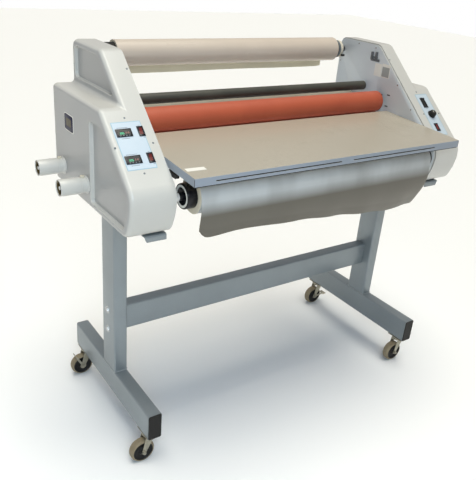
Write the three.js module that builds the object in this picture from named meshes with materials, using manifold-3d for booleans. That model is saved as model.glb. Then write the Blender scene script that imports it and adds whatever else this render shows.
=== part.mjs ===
// Floor-standing roll laminator: two cabinets joined by the roller set, on a caster stand.
// Millimetres, +Z up. X runs along the rollers, the operator stands at -Y.
import * as THREE from "three";
import { mergeVertices } from "three/addons/utils/BufferGeometryUtils.js";
import Module from "manifold-3d";

const wasm = await Module();
wasm.setup();

// ---- driving dimensions -------------------------------------------------------------------
const GAP = 0.3; // between faces that touch
const TUBE_WIDE = 50.8; // stand tube, 2 x 4 inch
const TUBE_DEEP = 101.6;
const TUBE_WALL = 3;
const STAND_HALF = 660; // outer faces of the posts
const FOOT_HALF = 325;
const FOOT_BOTTOM = 116; // the casters' overall height
const STRETCHER_BOTTOM = 366;
const STRETCHER_FRONT = -9;

const WHEEL_R = 44.5; // 3.5 inch casters
const WHEEL_WIDE = 30;
const CASTER_Y = 282;
const CASTER_TRAIL = 27;
const KINGPIN_R = 6;
const AXLE_R = 4.5;

const SUPPORT_TOP = 867.7;
const SUPPORT_THICK = 4;
const SUPPORT_LIP = 16;
const SUPPORT_HALF_DEEP = 282;
const PLATE_INNER = 573; // inner face of each side plate
const PLATE_THICK = 5;
const CABINET_BOTTOM = 868;
const CABINET_TOP = 1350;
const CABINET_REAR = 302;
const SHOULDER = 1207; // top of the wider lower box
const COVER_UPPER_X = 650;
const COVER_LOWER_X = 723;
const COVER_WALL = 4;
const RECESS_DEEP = 2;
const SLANT_TOP = { y: 72, z: 1350 }; // the sloping front runs from here
const SLANT_LOW = { y: -292, z: 1030 }; // to here

const SHELF_FRONT = { y: -401, z: 1078 };
const SHELF_REAR = { y: -30, z: 1100 };
const SHELF_LIP = 25;
const SHELF_SHEET = 2;
const SHELF_HALF = 572.5;
const SHELF_SLOTS = [
  [-502, -18],
  [33, 440],
];

const NIP_Z = 1089;
const MAIN_R = 41;
const MAIN_Y = 26;
const MAIN_HALF = 560;
const MAIN_SHAFT_R = 14;
const PULL_R = 25;
const PULL_Y = 190;
const PULL_SHAFT_R = 9;
const IDLER = { y: 116, z: 1177, r: 18.3 };
const NIP_LIFT = 15;
const SHAFT_CLEARANCE = 0.6;
const BLOCK = { wide: 20, deep: 58, high: 58 };

const FILM_HALF = 510;
const CORE_BORE_R = 38;
const UPPER_ROLL = { y: 283, z: 1301, r: 45 };
const LOWER_ROLL = { y: -283, z: 980, r: 59 };
const MANDREL_R = 12;
const CHUCK_R = 36.5;
const LOWER_CHUCK_R = 40;
const CHUCK_LONG = 31;
const COLLAR_R = 39;
const UPPER_TAIL_BOTTOM = 1220;
const LOWER_TAIL_BOTTOM = 815;
const TAIL_THICK = 3;
const TAIL_OFF = 1.5; // the hanging film clears its roll by this much

const GUARD = { r: 27, wall: 3, flange: 30, z: 942, rearY: 215, frontY: 10 };
const GUARD_END = 816;
const TAKEUP_R = 10;
const TIE = { y: 250, z: 905, r: 12 };

const GEAR_MODULE = 2.5;
const GEAR_TEETH = 36;
const PINION_TEETH = 12;
const GEAR_FACE = 10;
const GEAR_X = 586; // near face of the drive gear
const MOTOR = { r: 34, x0: 602, x1: 706, boxHigh: 74 };

const PANEL_PITCH = Math.atan2(SLANT_TOP.z - SLANT_LOW.z, SLANT_TOP.y - SLANT_LOW.y);
const ROCKERS = [
  { name: "rocker_left_upper", x: -616.5, s: 302, wide: 16, long: 30 },
  { name: "rocker_left_lower", x: -617.5, s: 393, wide: 16, long: 30 },
  { name: "rocker_right_upper", x: 646, s: 294, wide: 20, long: 42 },
  { name: "rocker_right_lower", x: 647, s: 411, wide: 16, long: 32 },
];
const ROCKER_TILT_RISE = 4.5;
const CONTROLLERS = [
  { name: "controller_upper", x: -671, s: 303 },
  { name: "controller_lower", x: -673, s: 394 },
];
const CONTROLLER = { wide: 50, high: 27, bezel: 3, bodyWide: 44, bodyHigh: 21.5, bodyDeep: 45 };
const KNOB = { x: 653, s: 351, r: 16, high: 16, stemR: 3 };
const INLET = { x: 655, z: 930, wide: 48, high: 28, bodyDeep: 26 };

// The part's origin is under the middle of the whole laminator, at floor level.
const REAR_REACH = UPPER_ROLL.y + UPPER_ROLL.r + TAIL_OFF + TAIL_THICK;
const OFFSET_X = (GUARD_END - COVER_LOWER_X) / 2;
const OFFSET_Y = -(SHELF_FRONT.y + REAR_REACH) / 2;

// ---- finishes ------------------------------------------------------------------------------
const finish = (color, roughness, metalness) => ({ color, roughness, metalness });
const FINISH = {
  standPaint: finish(0x7d8a92, 0.45, 0.35),
  shell: finish(0xdcddd7, 0.5, 0),
  plate: finish(0xa9b3b6, 0.45, 0.4),
  shelf: finish(0xbfb8a6, 0.35, 0.6),
  steel: finish(0xb8babb, 0.3, 0.9),
  zinc: finish(0xa8a697, 0.4, 0.8),
  blackPlastic: finish(0x1b1a19, 0.5, 0),
  tread: finish(0x9a8d72, 0.7, 0),
  silicone: finish(0xb65e48, 0.75, 0),
  blackRubber: finish(0x35372c, 0.6, 0),
  greyRubber: finish(0x8f8b7e, 0.7, 0),
  film: finish(0xc4b4a4, 0.3, 0),
  tailFilm: finish(0x9b978c, 0.3, 0),
  collar: finish(0xcfc9b8, 0.5, 0),
  redRocker: finish(0x6b1d16, 0.35, 0),
  cast: finish(0x6f7479, 0.6, 0.4),
};

// ---- shape helpers -------------------------------------------------------------------------
const model = new THREE.Group();
model.position.set(OFFSET_X, OFFSET_Y, 0);

function weld(geometry) {
  const bare = geometry.index ? geometry.toNonIndexed() : geometry.clone();
  bare.deleteAttribute("normal");
  bare.deleteAttribute("uv");
  return mergeVertices(bare, 1e-3);
}

function solid(geometry) {
  const welded = weld(geometry);
  return new wasm.Manifold(
    new wasm.Mesh({
      numProp: 3,
      vertProperties: welded.attributes.position.array,
      triVerts: new Uint32Array(welded.index.array),
    }),
  );
}

function geometryOf(manifold) {
  const mesh = manifold.getMesh();
  const geometry = new THREE.BufferGeometry();
  geometry.setAttribute("position", new THREE.BufferAttribute(mesh.vertProperties, 3));
  geometry.setIndex(new THREE.BufferAttribute(mesh.triVerts, 1));
  geometry.computeVertexNormals();
  return geometry;
}

function place(name, shape, look) {
  const geometry = shape.isBufferGeometry ? shape : geometryOf(shape);
  const mesh = new THREE.Mesh(geometry, new THREE.MeshStandardMaterial(look));
  mesh.name = name;
  model.add(mesh);
  return mesh;
}

function box(x0, x1, y0, y1, z0, z1) {
  const geometry = new THREE.BoxGeometry(x1 - x0, y1 - y0, z1 - z0);
  return geometry.translate((x0 + x1) / 2, (y0 + y1) / 2, (z0 + z1) / 2);
}

// A solid of revolution about the X axis through (y, z); profile is [x, radius] pairs that
// start and end on the axis, or close on themselves for a ring, with x increasing outside.
function turnedX(profile, y, z, segments = 32) {
  const points = profile.map(([x, r]) => new THREE.Vector2(r, x));
  const geometry = new THREE.LatheGeometry(points, segments);
  return geometry.rotateZ(-Math.PI / 2).translate(0, y, z);
}

function rodX(x0, x1, r, y, z, segments = 24) {
  return turnedX([[x0, 0], [x0, r], [x1, r], [x1, 0]], y, z, segments);
}

function ringX(x0, x1, inner, outer, y, z, segments = 24) {
  const profile = [[x0, inner], [x0, outer], [x1, outer], [x1, inner], [x0, inner]];
  return turnedX(profile, y, z, segments);
}

// An outline in the Y-Z plane, pushed along X from x0 to x1.
const SIDE_VIEW = new THREE.Matrix4().makeBasis(
  new THREE.Vector3(0, 1, 0),
  new THREE.Vector3(0, 0, 1),
  new THREE.Vector3(1, 0, 0),
);
function prismX(outline, x0, x1) {
  const shape = Array.isArray(outline) ? new THREE.Shape(outline) : outline;
  const geometry = new THREE.ExtrudeGeometry(shape, {
    depth: x1 - x0,
    bevelEnabled: false,
    curveSegments: 5,
  });
  return geometry.applyMatrix4(SIDE_VIEW).translate(x0, 0, 0);
}

function rectangleHole(wide, deep, wall) {
  const hole = new THREE.Path();
  const a = wide / 2 - wall;
  const b = deep / 2 - wall;
  hole.moveTo(-a, -b).lineTo(-a, b).lineTo(a, b).lineTo(a, -b).closePath();
  return hole;
}

function tube(wide, deep, long) {
  const shape = new THREE.Shape();
  const a = wide / 2;
  const b = deep / 2;
  shape.moveTo(-a, -b).lineTo(a, -b).lineTo(a, b).lineTo(-a, b).closePath();
  shape.holes.push(rectangleHole(wide, deep, TUBE_WALL));
  return new THREE.ExtrudeGeometry(shape, { depth: long, bevelEnabled: false });
}

const SIDES = [
  { side: "left", sign: -1 },
  { side: "right", sign: 1 },
];

// x0..x1 measured outwards from the centre plane, on either side.
function span(sign, near, far) {
  return sign < 0 ? [-far, -near] : [near, far];
}

// ---- stand ---------------------------------------------------------------------------------
function foot(side, sign) {
  const geometry = tube(TUBE_WIDE, TUBE_DEEP, 2 * FOOT_HALF);
  geometry.rotateX(Math.PI / 2);
  const x = sign * (STAND_HALF - TUBE_WIDE / 2);
  geometry.translate(x, FOOT_HALF, FOOT_BOTTOM + TUBE_DEEP / 2);
  place(`foot_${side}`, weld(geometry), FINISH.standPaint);
}

function footCap(side, sign) {
  const x = sign * (STAND_HALF - TUBE_WIDE / 2);
  const z = FOOT_BOTTOM + TUBE_DEEP / 2;
  const a = TUBE_WIDE / 2;
  const b = TUBE_DEEP / 2;
  const plugA = a - TUBE_WALL - GAP;
  const plugB = b - TUBE_WALL - GAP;
  const front = -FOOT_HALF - GAP;
  const face = solid(box(x - a, x + a, front - 3, front, z - b, z + b));
  const plug = solid(box(x - plugA, x + plugA, front - 1, front + 18, z - plugB, z + plugB));
  place(`end_cap_${side}_front`, face.add(plug), FINISH.blackPlastic);
}

function post(side, sign) {
  const bottom = FOOT_BOTTOM + TUBE_DEEP + GAP;
  const top = SUPPORT_TOP - SUPPORT_THICK - GAP;
  const geometry = tube(TUBE_WIDE, TUBE_DEEP, top - bottom);
  geometry.translate(sign * (STAND_HALF - TUBE_WIDE / 2), 0, bottom);
  place(`post_${side}`, weld(geometry), FINISH.standPaint);
}

function stretcher() {
  const half = STAND_HALF - TUBE_WIDE - GAP;
  const geometry = tube(TUBE_DEEP, TUBE_WIDE, 2 * half);
  geometry.rotateY(Math.PI / 2);
  const y = STRETCHER_FRONT + TUBE_WIDE / 2;
  geometry.translate(-half, y, STRETCHER_BOTTOM + TUBE_DEEP / 2);
  place("stretcher", weld(geometry), FINISH.standPaint);
}

function cabinetSupport(side, sign) {
  const [x0, x1] = span(sign, PLATE_INNER, STAND_HALF + 8);
  const low = SUPPORT_TOP - SUPPORT_THICK;
  const deep = SUPPORT_HALF_DEEP;
  const sheet = solid(box(x0, x1, -deep, deep, low, SUPPORT_TOP));
  const lipFront = solid(box(x0, x1, -deep, -deep + SUPPORT_THICK, low - SUPPORT_LIP, low + 1));
  const lipRear = solid(box(x0, x1, deep - SUPPORT_THICK, deep, low - SUPPORT_LIP, low + 1));
  place(`cabinet_support_${side}`, sheet.add(lipFront).add(lipRear), FINISH.standPaint);
}

// ---- casters -------------------------------------------------------------------------------
function casterPlate(name, x, y) {
  const top = FOOT_BOTTOM - GAP;
  const flange = solid(box(x - 25, x + 25, y - 40, y + 40, top - 3, top));
  const pin = new THREE.CylinderGeometry(KINGPIN_R, KINGPIN_R, 12, 16);
  pin.rotateX(Math.PI / 2).translate(x, y, top - 8);
  place(`caster_plate_${name}`, flange.add(solid(pin)), FINISH.zinc);
}

function casterFork(name, x, y) {
  const crownTop = FOOT_BOTTOM - 3 - 2 * GAP;
  const legY = WHEEL_WIDE / 2 + 2.5;
  const axleX = x - CASTER_TRAIL;
  const crown = new THREE.CylinderGeometry(24, 22, 7, 16);
  crown.rotateX(Math.PI / 2).translate(x, y, crownTop - 3.5);
  const leg = new THREE.Shape();
  leg.moveTo(x - 18, crownTop - 6);
  leg.lineTo(x + 16, crownTop - 6);
  leg.lineTo(axleX + 9, WHEEL_R - 3);
  leg.absarc(axleX, WHEEL_R, 9, -0.3, Math.PI + 0.6, true);
  leg.closePath();
  let fork = solid(crown);
  for (const dy of [-legY, legY]) {
    const plate = new THREE.ExtrudeGeometry(leg, {
      depth: 2.5,
      bevelEnabled: false,
      curveSegments: 5,
    });
    plate.rotateX(Math.PI / 2).translate(0, y + dy + 1.25, 0);
    fork = fork.add(solid(plate));
    const head = new THREE.CylinderGeometry(7, 7, 4, 6);
    head.translate(axleX, y + dy * 1.18, WHEEL_R);
    fork = fork.add(solid(head));
  }
  const axle = new THREE.CylinderGeometry(AXLE_R, AXLE_R, 2 * legY + 4, 10);
  fork = fork.add(solid(axle.translate(axleX, y, WHEEL_R)));
  const bridge = solid(box(x - 17, x + 15, y - legY, y + legY, crownTop - 9, crownTop - 4));
  fork = fork.add(bridge);
  const bore = new THREE.CylinderGeometry(KINGPIN_R + 0.5, KINGPIN_R + 0.5, 30, 16);
  bore.rotateX(Math.PI / 2).translate(x, y, crownTop);
  place(`caster_fork_${name}`, fork.subtract(solid(bore)), FINISH.zinc);
}

function casterWheel(name, x, y) {
  const h = WHEEL_WIDE / 2;
  const bore = AXLE_R + 0.5;
  const profile = [
    [bore, -h],
    [WHEEL_R - 5, -h],
    [WHEEL_R, -h + 5],
    [WHEEL_R, h - 5],
    [WHEEL_R - 5, h],
    [bore, h],
    [bore, -h],
  ];
  const points = profile.map(([r, a]) => new THREE.Vector2(r, a));
  const geometry = new THREE.LatheGeometry(points, 24);
  geometry.translate(x - CASTER_TRAIL, y, WHEEL_R);
  place(`caster_wheel_${name}`, weld(geometry), FINISH.blackPlastic);
}

// A brake lever hooks over the axle end and ends in a foot tab beyond the tread.
function brakeLever(name, x, y, angle) {
  const out = WHEEL_WIDE / 2 + 6.5;
  const armShape = new THREE.Shape();
  armShape.moveTo(9, -4);
  armShape.lineTo(52, -4);
  armShape.lineTo(52, 4);
  armShape.lineTo(9, 4);
  armShape.closePath();
  const arm = new THREE.ExtrudeGeometry(armShape, { depth: 2, bevelEnabled: false });
  arm.translate(0, 0, -1);
  const tab = new THREE.BoxGeometry(18, 3, out + 12);
  tab.translate(57, 0, -(out - 10) / 2);
  const eye = new THREE.CylinderGeometry(12, 12, 2, 20).rotateX(Math.PI / 2);
  let lever = solid(arm).add(solid(tab)).add(solid(eye));
  const bore = new THREE.CylinderGeometry(8.6, 8.6, 8, 20).rotateX(Math.PI / 2);
  lever = lever.subtract(solid(bore));
  const geometry = geometryOf(lever);
  geometry.rotateZ(angle);
  geometry.rotateX(Math.PI / 2);
  geometry.translate(x - CASTER_TRAIL, y - out + 1, WHEEL_R);
  place(`brake_lever_${name}`, geometry, FINISH.zinc);
}

const CASTERS = [
  { name: "left_front", sign: -1, y: -CASTER_Y },
  { name: "right_front", sign: 1, y: -CASTER_Y },
  { name: "left_rear", sign: -1, y: CASTER_Y, brake: (2 * Math.PI) / 3 },
  { name: "right_rear", sign: 1, y: CASTER_Y, brake: 0.1 },
];

function casters() {
  for (const { name, sign, y, brake } of CASTERS) {
    const x = sign * (STAND_HALF - TUBE_WIDE / 2);
    casterPlate(name, x, y);
    casterFork(name, x, y);
    casterWheel(name, x, y);
    if (brake !== undefined) brakeLever(name, x, y, brake);
  }
}

// ---- cabinets ------------------------------------------------------------------------------
// The cabinet's side outline: upright back, sloping front, and a rounded knee that tucks
// under. inset moves the whole outline inwards.
function sideOutline(inset) {
  const s = inset;
  const rear = CABINET_REAR - s;
  const bottom = CABINET_BOTTOM + s;
  const top = CABINET_TOP - s;
  const shape = new THREE.Shape();
  shape.moveTo(-248, bottom);
  shape.lineTo(rear, bottom);
  shape.lineTo(rear, top - 32);
  shape.quadraticCurveTo(rear, top, rear - 32, top);
  shape.lineTo(SLANT_TOP.y + 14 - s * 0.4, top);
  shape.quadraticCurveTo(SLANT_TOP.y + 2, top, SLANT_TOP.y - 10 + s * 0.6, top - 9);
  shape.lineTo(SLANT_LOW.y + s * 1.05, SLANT_LOW.z - s * 0.3);
  shape.bezierCurveTo(-306 + s, 1016, -313 + s, 1000, -312 + s, 978);
  shape.bezierCurveTo(-311 + s, 948, -303 + s, 922, -290 + s, 892);
  shape.quadraticCurveTo(-280 + s, bottom, -248, bottom);
  return shape;
}

function lowerBand(x0, x1, top) {
  return solid(box(x0, x1, -500, 500, 0, top));
}

function cabinetSolid(sign, inset, near) {
  const [u0, u1] = span(sign, near, COVER_UPPER_X - inset);
  const [l0, l1] = span(sign, near, COVER_LOWER_X - inset);
  const whole = solid(prismX(sideOutline(inset), l0, l1));
  const lower = whole.intersect(lowerBand(l0 - 1, l1 + 1, SHOULDER - inset));
  return solid(prismX(sideOutline(inset), u0, u1)).add(lower);
}

// Shallow panels pressed into the outer faces, one above and one below the shoulder.
function recesses(sign) {
  const slope = (SLANT_TOP.z - SLANT_LOW.z) / (SLANT_TOP.y - SLANT_LOW.y);
  const frontAt = (z, inset) => SLANT_LOW.y + (z - SLANT_LOW.z) / slope + inset;
  const lowTop = 1154;
  const lower = new THREE.Shape();
  lower.moveTo(-20, 892);
  lower.lineTo(-20, lowTop);
  lower.lineTo(frontAt(lowTop, 26), lowTop);
  lower.lineTo(frontAt(1034, 26), 1034);
  lower.quadraticCurveTo(-290, 1000, -290, 970);
  lower.lineTo(-262, 892);
  lower.closePath();
  const upper = new THREE.Shape();
  upper.moveTo(278, 1224);
  upper.lineTo(278, 1318);
  upper.quadraticCurveTo(278, 1330, 262, 1332);
  upper.lineTo(frontAt(1332, 32), 1332);
  upper.lineTo(frontAt(1224, 26), 1224);
  upper.closePath();
  const [l0, l1] = span(sign, COVER_LOWER_X - RECESS_DEEP, COVER_LOWER_X + 5);
  const [u0, u1] = span(sign, COVER_UPPER_X - RECESS_DEEP, COVER_UPPER_X + 5);
  return solid(prismX(lower, l0, l1)).add(solid(prismX(upper, u0, u1)));
}

// Moves a shape drawn on the sloping panel (x across, y up the slope, z out) into place.
function onPanel(geometry, x, s) {
  geometry.translate(0, -s, 0).rotateX(PANEL_PITCH);
  return geometry.translate(x, SLANT_TOP.y, SLANT_TOP.z);
}

function panelCut(x, s, wide, long) {
  return solid(onPanel(new THREE.BoxGeometry(wide, long, 60), x, s));
}

function panelCuts(sign) {
  const cuts = [];
  for (const r of ROCKERS) {
    if (Math.sign(r.x) === sign) cuts.push(panelCut(r.x, r.s, r.wide + 2, r.long + 3));
  }
  if (sign < 0) {
    for (const c of CONTROLLERS) {
      cuts.push(panelCut(c.x, c.s, CONTROLLER.bodyWide + 1, CONTROLLER.bodyHigh + 1));
    }
  } else {
    cuts.push(panelCut(KNOB.x, KNOB.s, 2 * KNOB.stemR + 2, 2 * KNOB.stemR + 2));
    const inletWide = INLET.wide / 2 - 4;
    const inletHigh = INLET.high / 2 - 4;
    const { x, z } = INLET;
    cuts.push(
      solid(box(x - inletWide, x + inletWide, 280, 320, z - inletHigh, z + inletHigh)),
    );
  }
  return cuts;
}

function cover(side, sign) {
  const near = PLATE_INNER + PLATE_THICK + GAP;
  let shell = cabinetSolid(sign, 0, near);
  shell = shell.subtract(cabinetSolid(sign, COVER_WALL, near - 2));
  shell = shell.subtract(recesses(sign));
  for (const cut of panelCuts(sign)) shell = shell.subtract(cut);
  if (sign < 0) {
    for (const y of [GUARD.rearY, GUARD.frontY]) {
      const hole = rodX(-COVER_LOWER_X - 5, -COVER_LOWER_X + 20, TAKEUP_R + 4, y, GUARD.z, 24);
      shell = shell.subtract(solid(hole));
    }
  }
  place(`cover_${side}`, shell, FINISH.shell);
}

// Round holes for the turning shafts and an upright slot for the lifting roller.
function sidePlate(side, sign) {
  const [x0, x1] = span(sign, PLATE_INNER, PLATE_INNER + PLATE_THICK);
  let plate = solid(prismX(sideOutline(0), x0, x1));
  const slack = SHAFT_CLEARANCE;
  const holes = [
    [MAIN_Y, NIP_Z - MAIN_R, MAIN_SHAFT_R],
    [PULL_Y, NIP_Z + PULL_R, PULL_SHAFT_R],
    [PULL_Y, NIP_Z - PULL_R, PULL_SHAFT_R],
    [LOWER_ROLL.y, LOWER_ROLL.z, MANDREL_R],
    [UPPER_ROLL.y, UPPER_ROLL.z, MANDREL_R],
    [GUARD.rearY, GUARD.z, TAKEUP_R],
    [GUARD.frontY, GUARD.z, TAKEUP_R],
  ];
  for (const [y, z, r] of holes) {
    plate = plate.subtract(solid(rodX(x0 - 1, x1 + 1, r + slack, y, z, 16)));
  }
  const r = MAIN_SHAFT_R + slack;
  const low = NIP_Z + MAIN_R - r;
  const high = NIP_Z + MAIN_R + r + NIP_LIFT;
  plate = plate.subtract(solid(box(x0 - 1, x1 + 1, MAIN_Y - r, MAIN_Y + r, low, high)));
  place(`side_plate_${side}`, plate, FINISH.plate);
}

function tieBar() {
  const rod = rodX(-PLATE_INNER + GAP, PLATE_INNER - GAP, TIE.r, TIE.y, TIE.z, 16);
  place("tie_bar_rear", weld(rod), FINISH.steel);
}

// A folded sheet tray, open underneath and at the back, with a rolled rear edge.
function feedShelf() {
  const { y: y0, z: z0 } = SHELF_FRONT;
  const { y: y1, z: z1 } = SHELF_REAR;
  const outer = new THREE.Shape();
  outer.moveTo(y0, z0 - SHELF_LIP);
  outer.lineTo(y1, z1 - SHELF_LIP);
  outer.lineTo(y1, z1);
  outer.lineTo(y0, z0);
  outer.closePath();
  const inner = new THREE.Shape();
  inner.moveTo(y0 + SHELF_SHEET, z0 - SHELF_LIP - 5);
  inner.lineTo(y1 + 5, z1 - SHELF_LIP - 5);
  inner.lineTo(y1 + 5, z1 - SHELF_SHEET + 0.3);
  inner.lineTo(y0 + SHELF_SHEET, z0 - SHELF_SHEET);
  inner.closePath();
  const h = SHELF_HALF;
  let shelf = solid(prismX(outer, -h, h));
  shelf = shelf.subtract(solid(prismX(inner, -h + SHELF_SHEET, h - SHELF_SHEET)));
  const roll = new THREE.Shape();
  roll.moveTo(y1 - 1, z1 - SHELF_SHEET);
  roll.lineTo(y1 - 1, z1);
  roll.lineTo(y1, z1);
  roll.quadraticCurveTo(y1 + 9, z1, y1 + 13, z1 - 8);
  roll.lineTo(y1 + 11, z1 - 9);
  roll.quadraticCurveTo(y1 + 8, z1 - 2, y1, z1 - SHELF_SHEET);
  roll.closePath();
  shelf = shelf.add(solid(prismX(roll, -h, h)));
  for (const [a, b] of SHELF_SLOTS) {
    shelf = shelf.subtract(solid(box(a, b, y0 - 2, y0 + 3, z0 - 16, z0 - 12)));
  }
  place("feed_shelf", shelf, FINISH.shelf);
}

// ---- rollers -------------------------------------------------------------------------------
function roller(name, half, r, shaftR, shaftHalf, y, z, look) {
  const profile = [
    [-shaftHalf, 0],
    [-shaftHalf, shaftR],
    [-half, shaftR],
    [-half, r],
    [half, r],
    [half, shaftR],
    [shaftHalf, shaftR],
    [shaftHalf, 0],
  ];
  place(name, weld(turnedX(profile, y, z, 28)), look);
}

function rollers() {
  const mainUp = NIP_Z + MAIN_R + GAP / 2;
  const mainDown = NIP_Z - MAIN_R - GAP / 2;
  const pullUp = NIP_Z + PULL_R + GAP / 2;
  const pullDown = NIP_Z - PULL_R - GAP / 2;
  const reach = PLATE_INNER + PLATE_THICK;
  const s = MAIN_SHAFT_R;
  roller("upper_main_roller", MAIN_HALF, MAIN_R, s, reach + 28, MAIN_Y, mainUp, FINISH.silicone);
  roller("lower_main_roller", MAIN_HALF, MAIN_R, s, reach + 22, MAIN_Y, mainDown, FINISH.silicone);
  const p = PULL_SHAFT_R;
  roller("upper_pull_roller", MAIN_HALF, PULL_R, p, reach + 12, PULL_Y, pullUp, FINISH.greyRubber);
  roller("lower_pull_roller", MAIN_HALF, PULL_R, p, reach + 12, PULL_Y, pullDown, FINISH.greyRubber);
  const { y, z, r } = IDLER;
  roller("upper_idler", MAIN_HALF, r, 6, PLATE_INNER - GAP, y, z, FINISH.blackRubber);
}

function bearingBlock(side, sign) {
  const near = PLATE_INNER + PLATE_THICK + GAP;
  const [x0, x1] = span(sign, near, near + BLOCK.wide);
  const z = NIP_Z + MAIN_R + GAP / 2;
  const block = box(
    x0,
    x1,
    MAIN_Y - BLOCK.deep / 2,
    MAIN_Y + BLOCK.deep / 2,
    z - BLOCK.high / 2 + 8,
    z + BLOCK.high / 2 + 8,
  );
  const bore = rodX(x0 - 1, x1 + 1, MAIN_SHAFT_R + 0.4, MAIN_Y, z, 24);
  place(`bearing_block_${side}`, solid(block).subtract(solid(bore)), FINISH.cast);
}

// ---- film supplies -------------------------------------------------------------------------
function mandrel(name, roll) {
  const half = PLATE_INNER + PLATE_THICK + 8;
  place(name, weld(rodX(-half, half, MANDREL_R, roll.y, roll.z, 16)), FINISH.steel);
}

function filmRoll(name, roll) {
  const ring = ringX(-FILM_HALF, FILM_HALF, CORE_BORE_R, roll.r, roll.y, roll.z, 28);
  place(name, weld(ring), FINISH.film);
}

// A chuck plugs into the core and shows as a short drum beside the roll.
function coreChuck(name, roll, sign, r, look) {
  const bore = MANDREL_R + 0.4;
  const [d0, d1] = span(sign, FILM_HALF + GAP, FILM_HALF + CHUCK_LONG);
  const [p0, p1] = span(sign, FILM_HALF - 30, FILM_HALF + 5);
  const drum = solid(ringX(d0, d1, bore, r, roll.y, roll.z));
  const plug = solid(ringX(p0, p1, bore, CORE_BORE_R - 0.4, roll.y, roll.z));
  place(name, drum.add(plug), look);
}

// The loose film ends hang straight down beside their rolls.
function upperTail() {
  const y = UPPER_ROLL.y + UPPER_ROLL.r + TAIL_OFF;
  const tail = box(-505, 492, y, y + TAIL_THICK, UPPER_TAIL_BOTTOM, UPPER_ROLL.z);
  place("upper_film_tail", weld(tail), FINISH.tailFilm);
}

function lowerTail() {
  const y = LOWER_ROLL.y - LOWER_ROLL.r - TAIL_OFF;
  const low = LOWER_TAIL_BOTTOM;
  const hang = new THREE.Shape();
  hang.moveTo(y, LOWER_ROLL.z);
  hang.lineTo(y, low + 22);
  hang.quadraticCurveTo(y, low, y + 22, low);
  hang.lineTo(y + 22, low + TAIL_THICK);
  hang.quadraticCurveTo(y + TAIL_THICK, low + TAIL_THICK, y + TAIL_THICK, low + 24);
  hang.lineTo(y + TAIL_THICK - 1.8, LOWER_ROLL.z);
  hang.closePath();
  place("lower_film_tail", weld(prismX(hang, -FILM_HALF, FILM_HALF)), FINISH.tailFilm);
}

// ---- take-up mandrels with their guard tubes ------------------------------------------------
function guardTube(name, y) {
  const face = -COVER_LOWER_X - GAP;
  const bore = GUARD.r - GUARD.wall;
  const profile = [
    [-GUARD_END, bore],
    [-GUARD_END, GUARD.r],
    [face - 6, GUARD.r],
    [face - 6, GUARD.flange],
    [face, GUARD.flange],
    [face, bore],
    [-GUARD_END, bore],
  ];
  let tubeSolid = solid(turnedX(profile, y, GUARD.z, 24));
  const screw = new THREE.CylinderGeometry(6, 7, 9, 16);
  screw.rotateX(Math.PI / 2).translate(face - 14, y, GUARD.z + GUARD.r + 1.5);
  tubeSolid = tubeSolid.add(solid(screw));
  place(name, tubeSolid, FINISH.shell);
}

function takeUpMandrel(name, y) {
  const end = PLATE_INNER + PLATE_THICK + 8;
  const profile = [
    [-GUARD_END + 8, 0],
    [-GUARD_END + 8, 6],
    [-GUARD_END + 22, 6],
    [-GUARD_END + 22, TAKEUP_R],
    [end, TAKEUP_R],
    [end, 0],
  ];
  place(name, weld(turnedX(profile, y, GUARD.z, 16)), FINISH.steel);
}

// ---- drive ---------------------------------------------------------------------------------
// Straight-flanked spur teeth, thinned for running clearance.
function gearOutline(teeth, phase) {
  const pitchR = (GEAR_MODULE * teeth) / 2;
  const tip = pitchR + GEAR_MODULE * 0.9;
  const root = pitchR - GEAR_MODULE * 1.15;
  const step = (2 * Math.PI) / teeth;
  const corners = [
    [-0.3, root],
    [-0.12, tip],
    [0.12, tip],
    [0.3, root],
  ];
  const points = [];
  for (let i = 0; i < teeth; i++) {
    for (const [share, r] of corners) {
      const a = phase + step * (i + share);
      points.push(new THREE.Vector2(r * Math.cos(a), r * Math.sin(a)));
    }
  }
  return points;
}

function gear(name, teeth, phase, x0, boreR, y, z) {
  const shape = new THREE.Shape(gearOutline(teeth, phase));
  const wheel = solid(prismX(shape, x0, x0 + GEAR_FACE).translate(0, y, z));
  const bore = solid(rodX(x0 - 1, x0 + GEAR_FACE + 1, boreR, y, z, 24));
  place(name, wheel.subtract(bore), FINISH.steel);
}

const MESH_ANGLE = (-3 * Math.PI) / 4; // the pinion sits below and in front of the gear
const LOWER_AXIS_Z = NIP_Z - MAIN_R - GAP / 2;
const CENTRES = (GEAR_MODULE * (GEAR_TEETH + PINION_TEETH)) / 2 + 0.2;
const PINION_Y = MAIN_Y + CENTRES * Math.cos(MESH_ANGLE);
const PINION_Z = LOWER_AXIS_Z + CENTRES * Math.sin(MESH_ANGLE);

function drive() {
  const half = Math.PI / PINION_TEETH;
  gear("drive_gear", GEAR_TEETH, MESH_ANGLE, GEAR_X, MAIN_SHAFT_R + 0.3, MAIN_Y, LOWER_AXIS_Z);
  gear("drive_pinion", PINION_TEETH, MESH_ANGLE + Math.PI + half, GEAR_X, 5.3, PINION_Y, PINION_Z);
  driveMotor();
}

// Gearbox block, round motor and three posts that hold it off the side plate.
function driveMotor() {
  const { r, x0, x1, boxHigh } = MOTOR;
  const h = boxHigh / 2;
  const block = solid(box(x0, x0 + 34, PINION_Y - h, PINION_Y + h, PINION_Z - h, PINION_Z + h));
  const can = solid(rodX(x0 + 30, x1, r, PINION_Y, PINION_Z, 28));
  const shaft = solid(rodX(GEAR_X - 2, x0 + 2, 5, PINION_Y, PINION_Z, 16));
  let motor = block.add(can).add(shaft);
  const off = h - 7;
  for (const [dy, dz] of [[-off, off], [-off, -off], [off, -off]]) {
    const near = PLATE_INNER + PLATE_THICK + GAP;
    motor = motor.add(solid(rodX(near, x0 + 2, 5, PINION_Y + dy, PINION_Z + dz, 12)));
  }
  place("drive_motor", motor, FINISH.cast);
}

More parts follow.
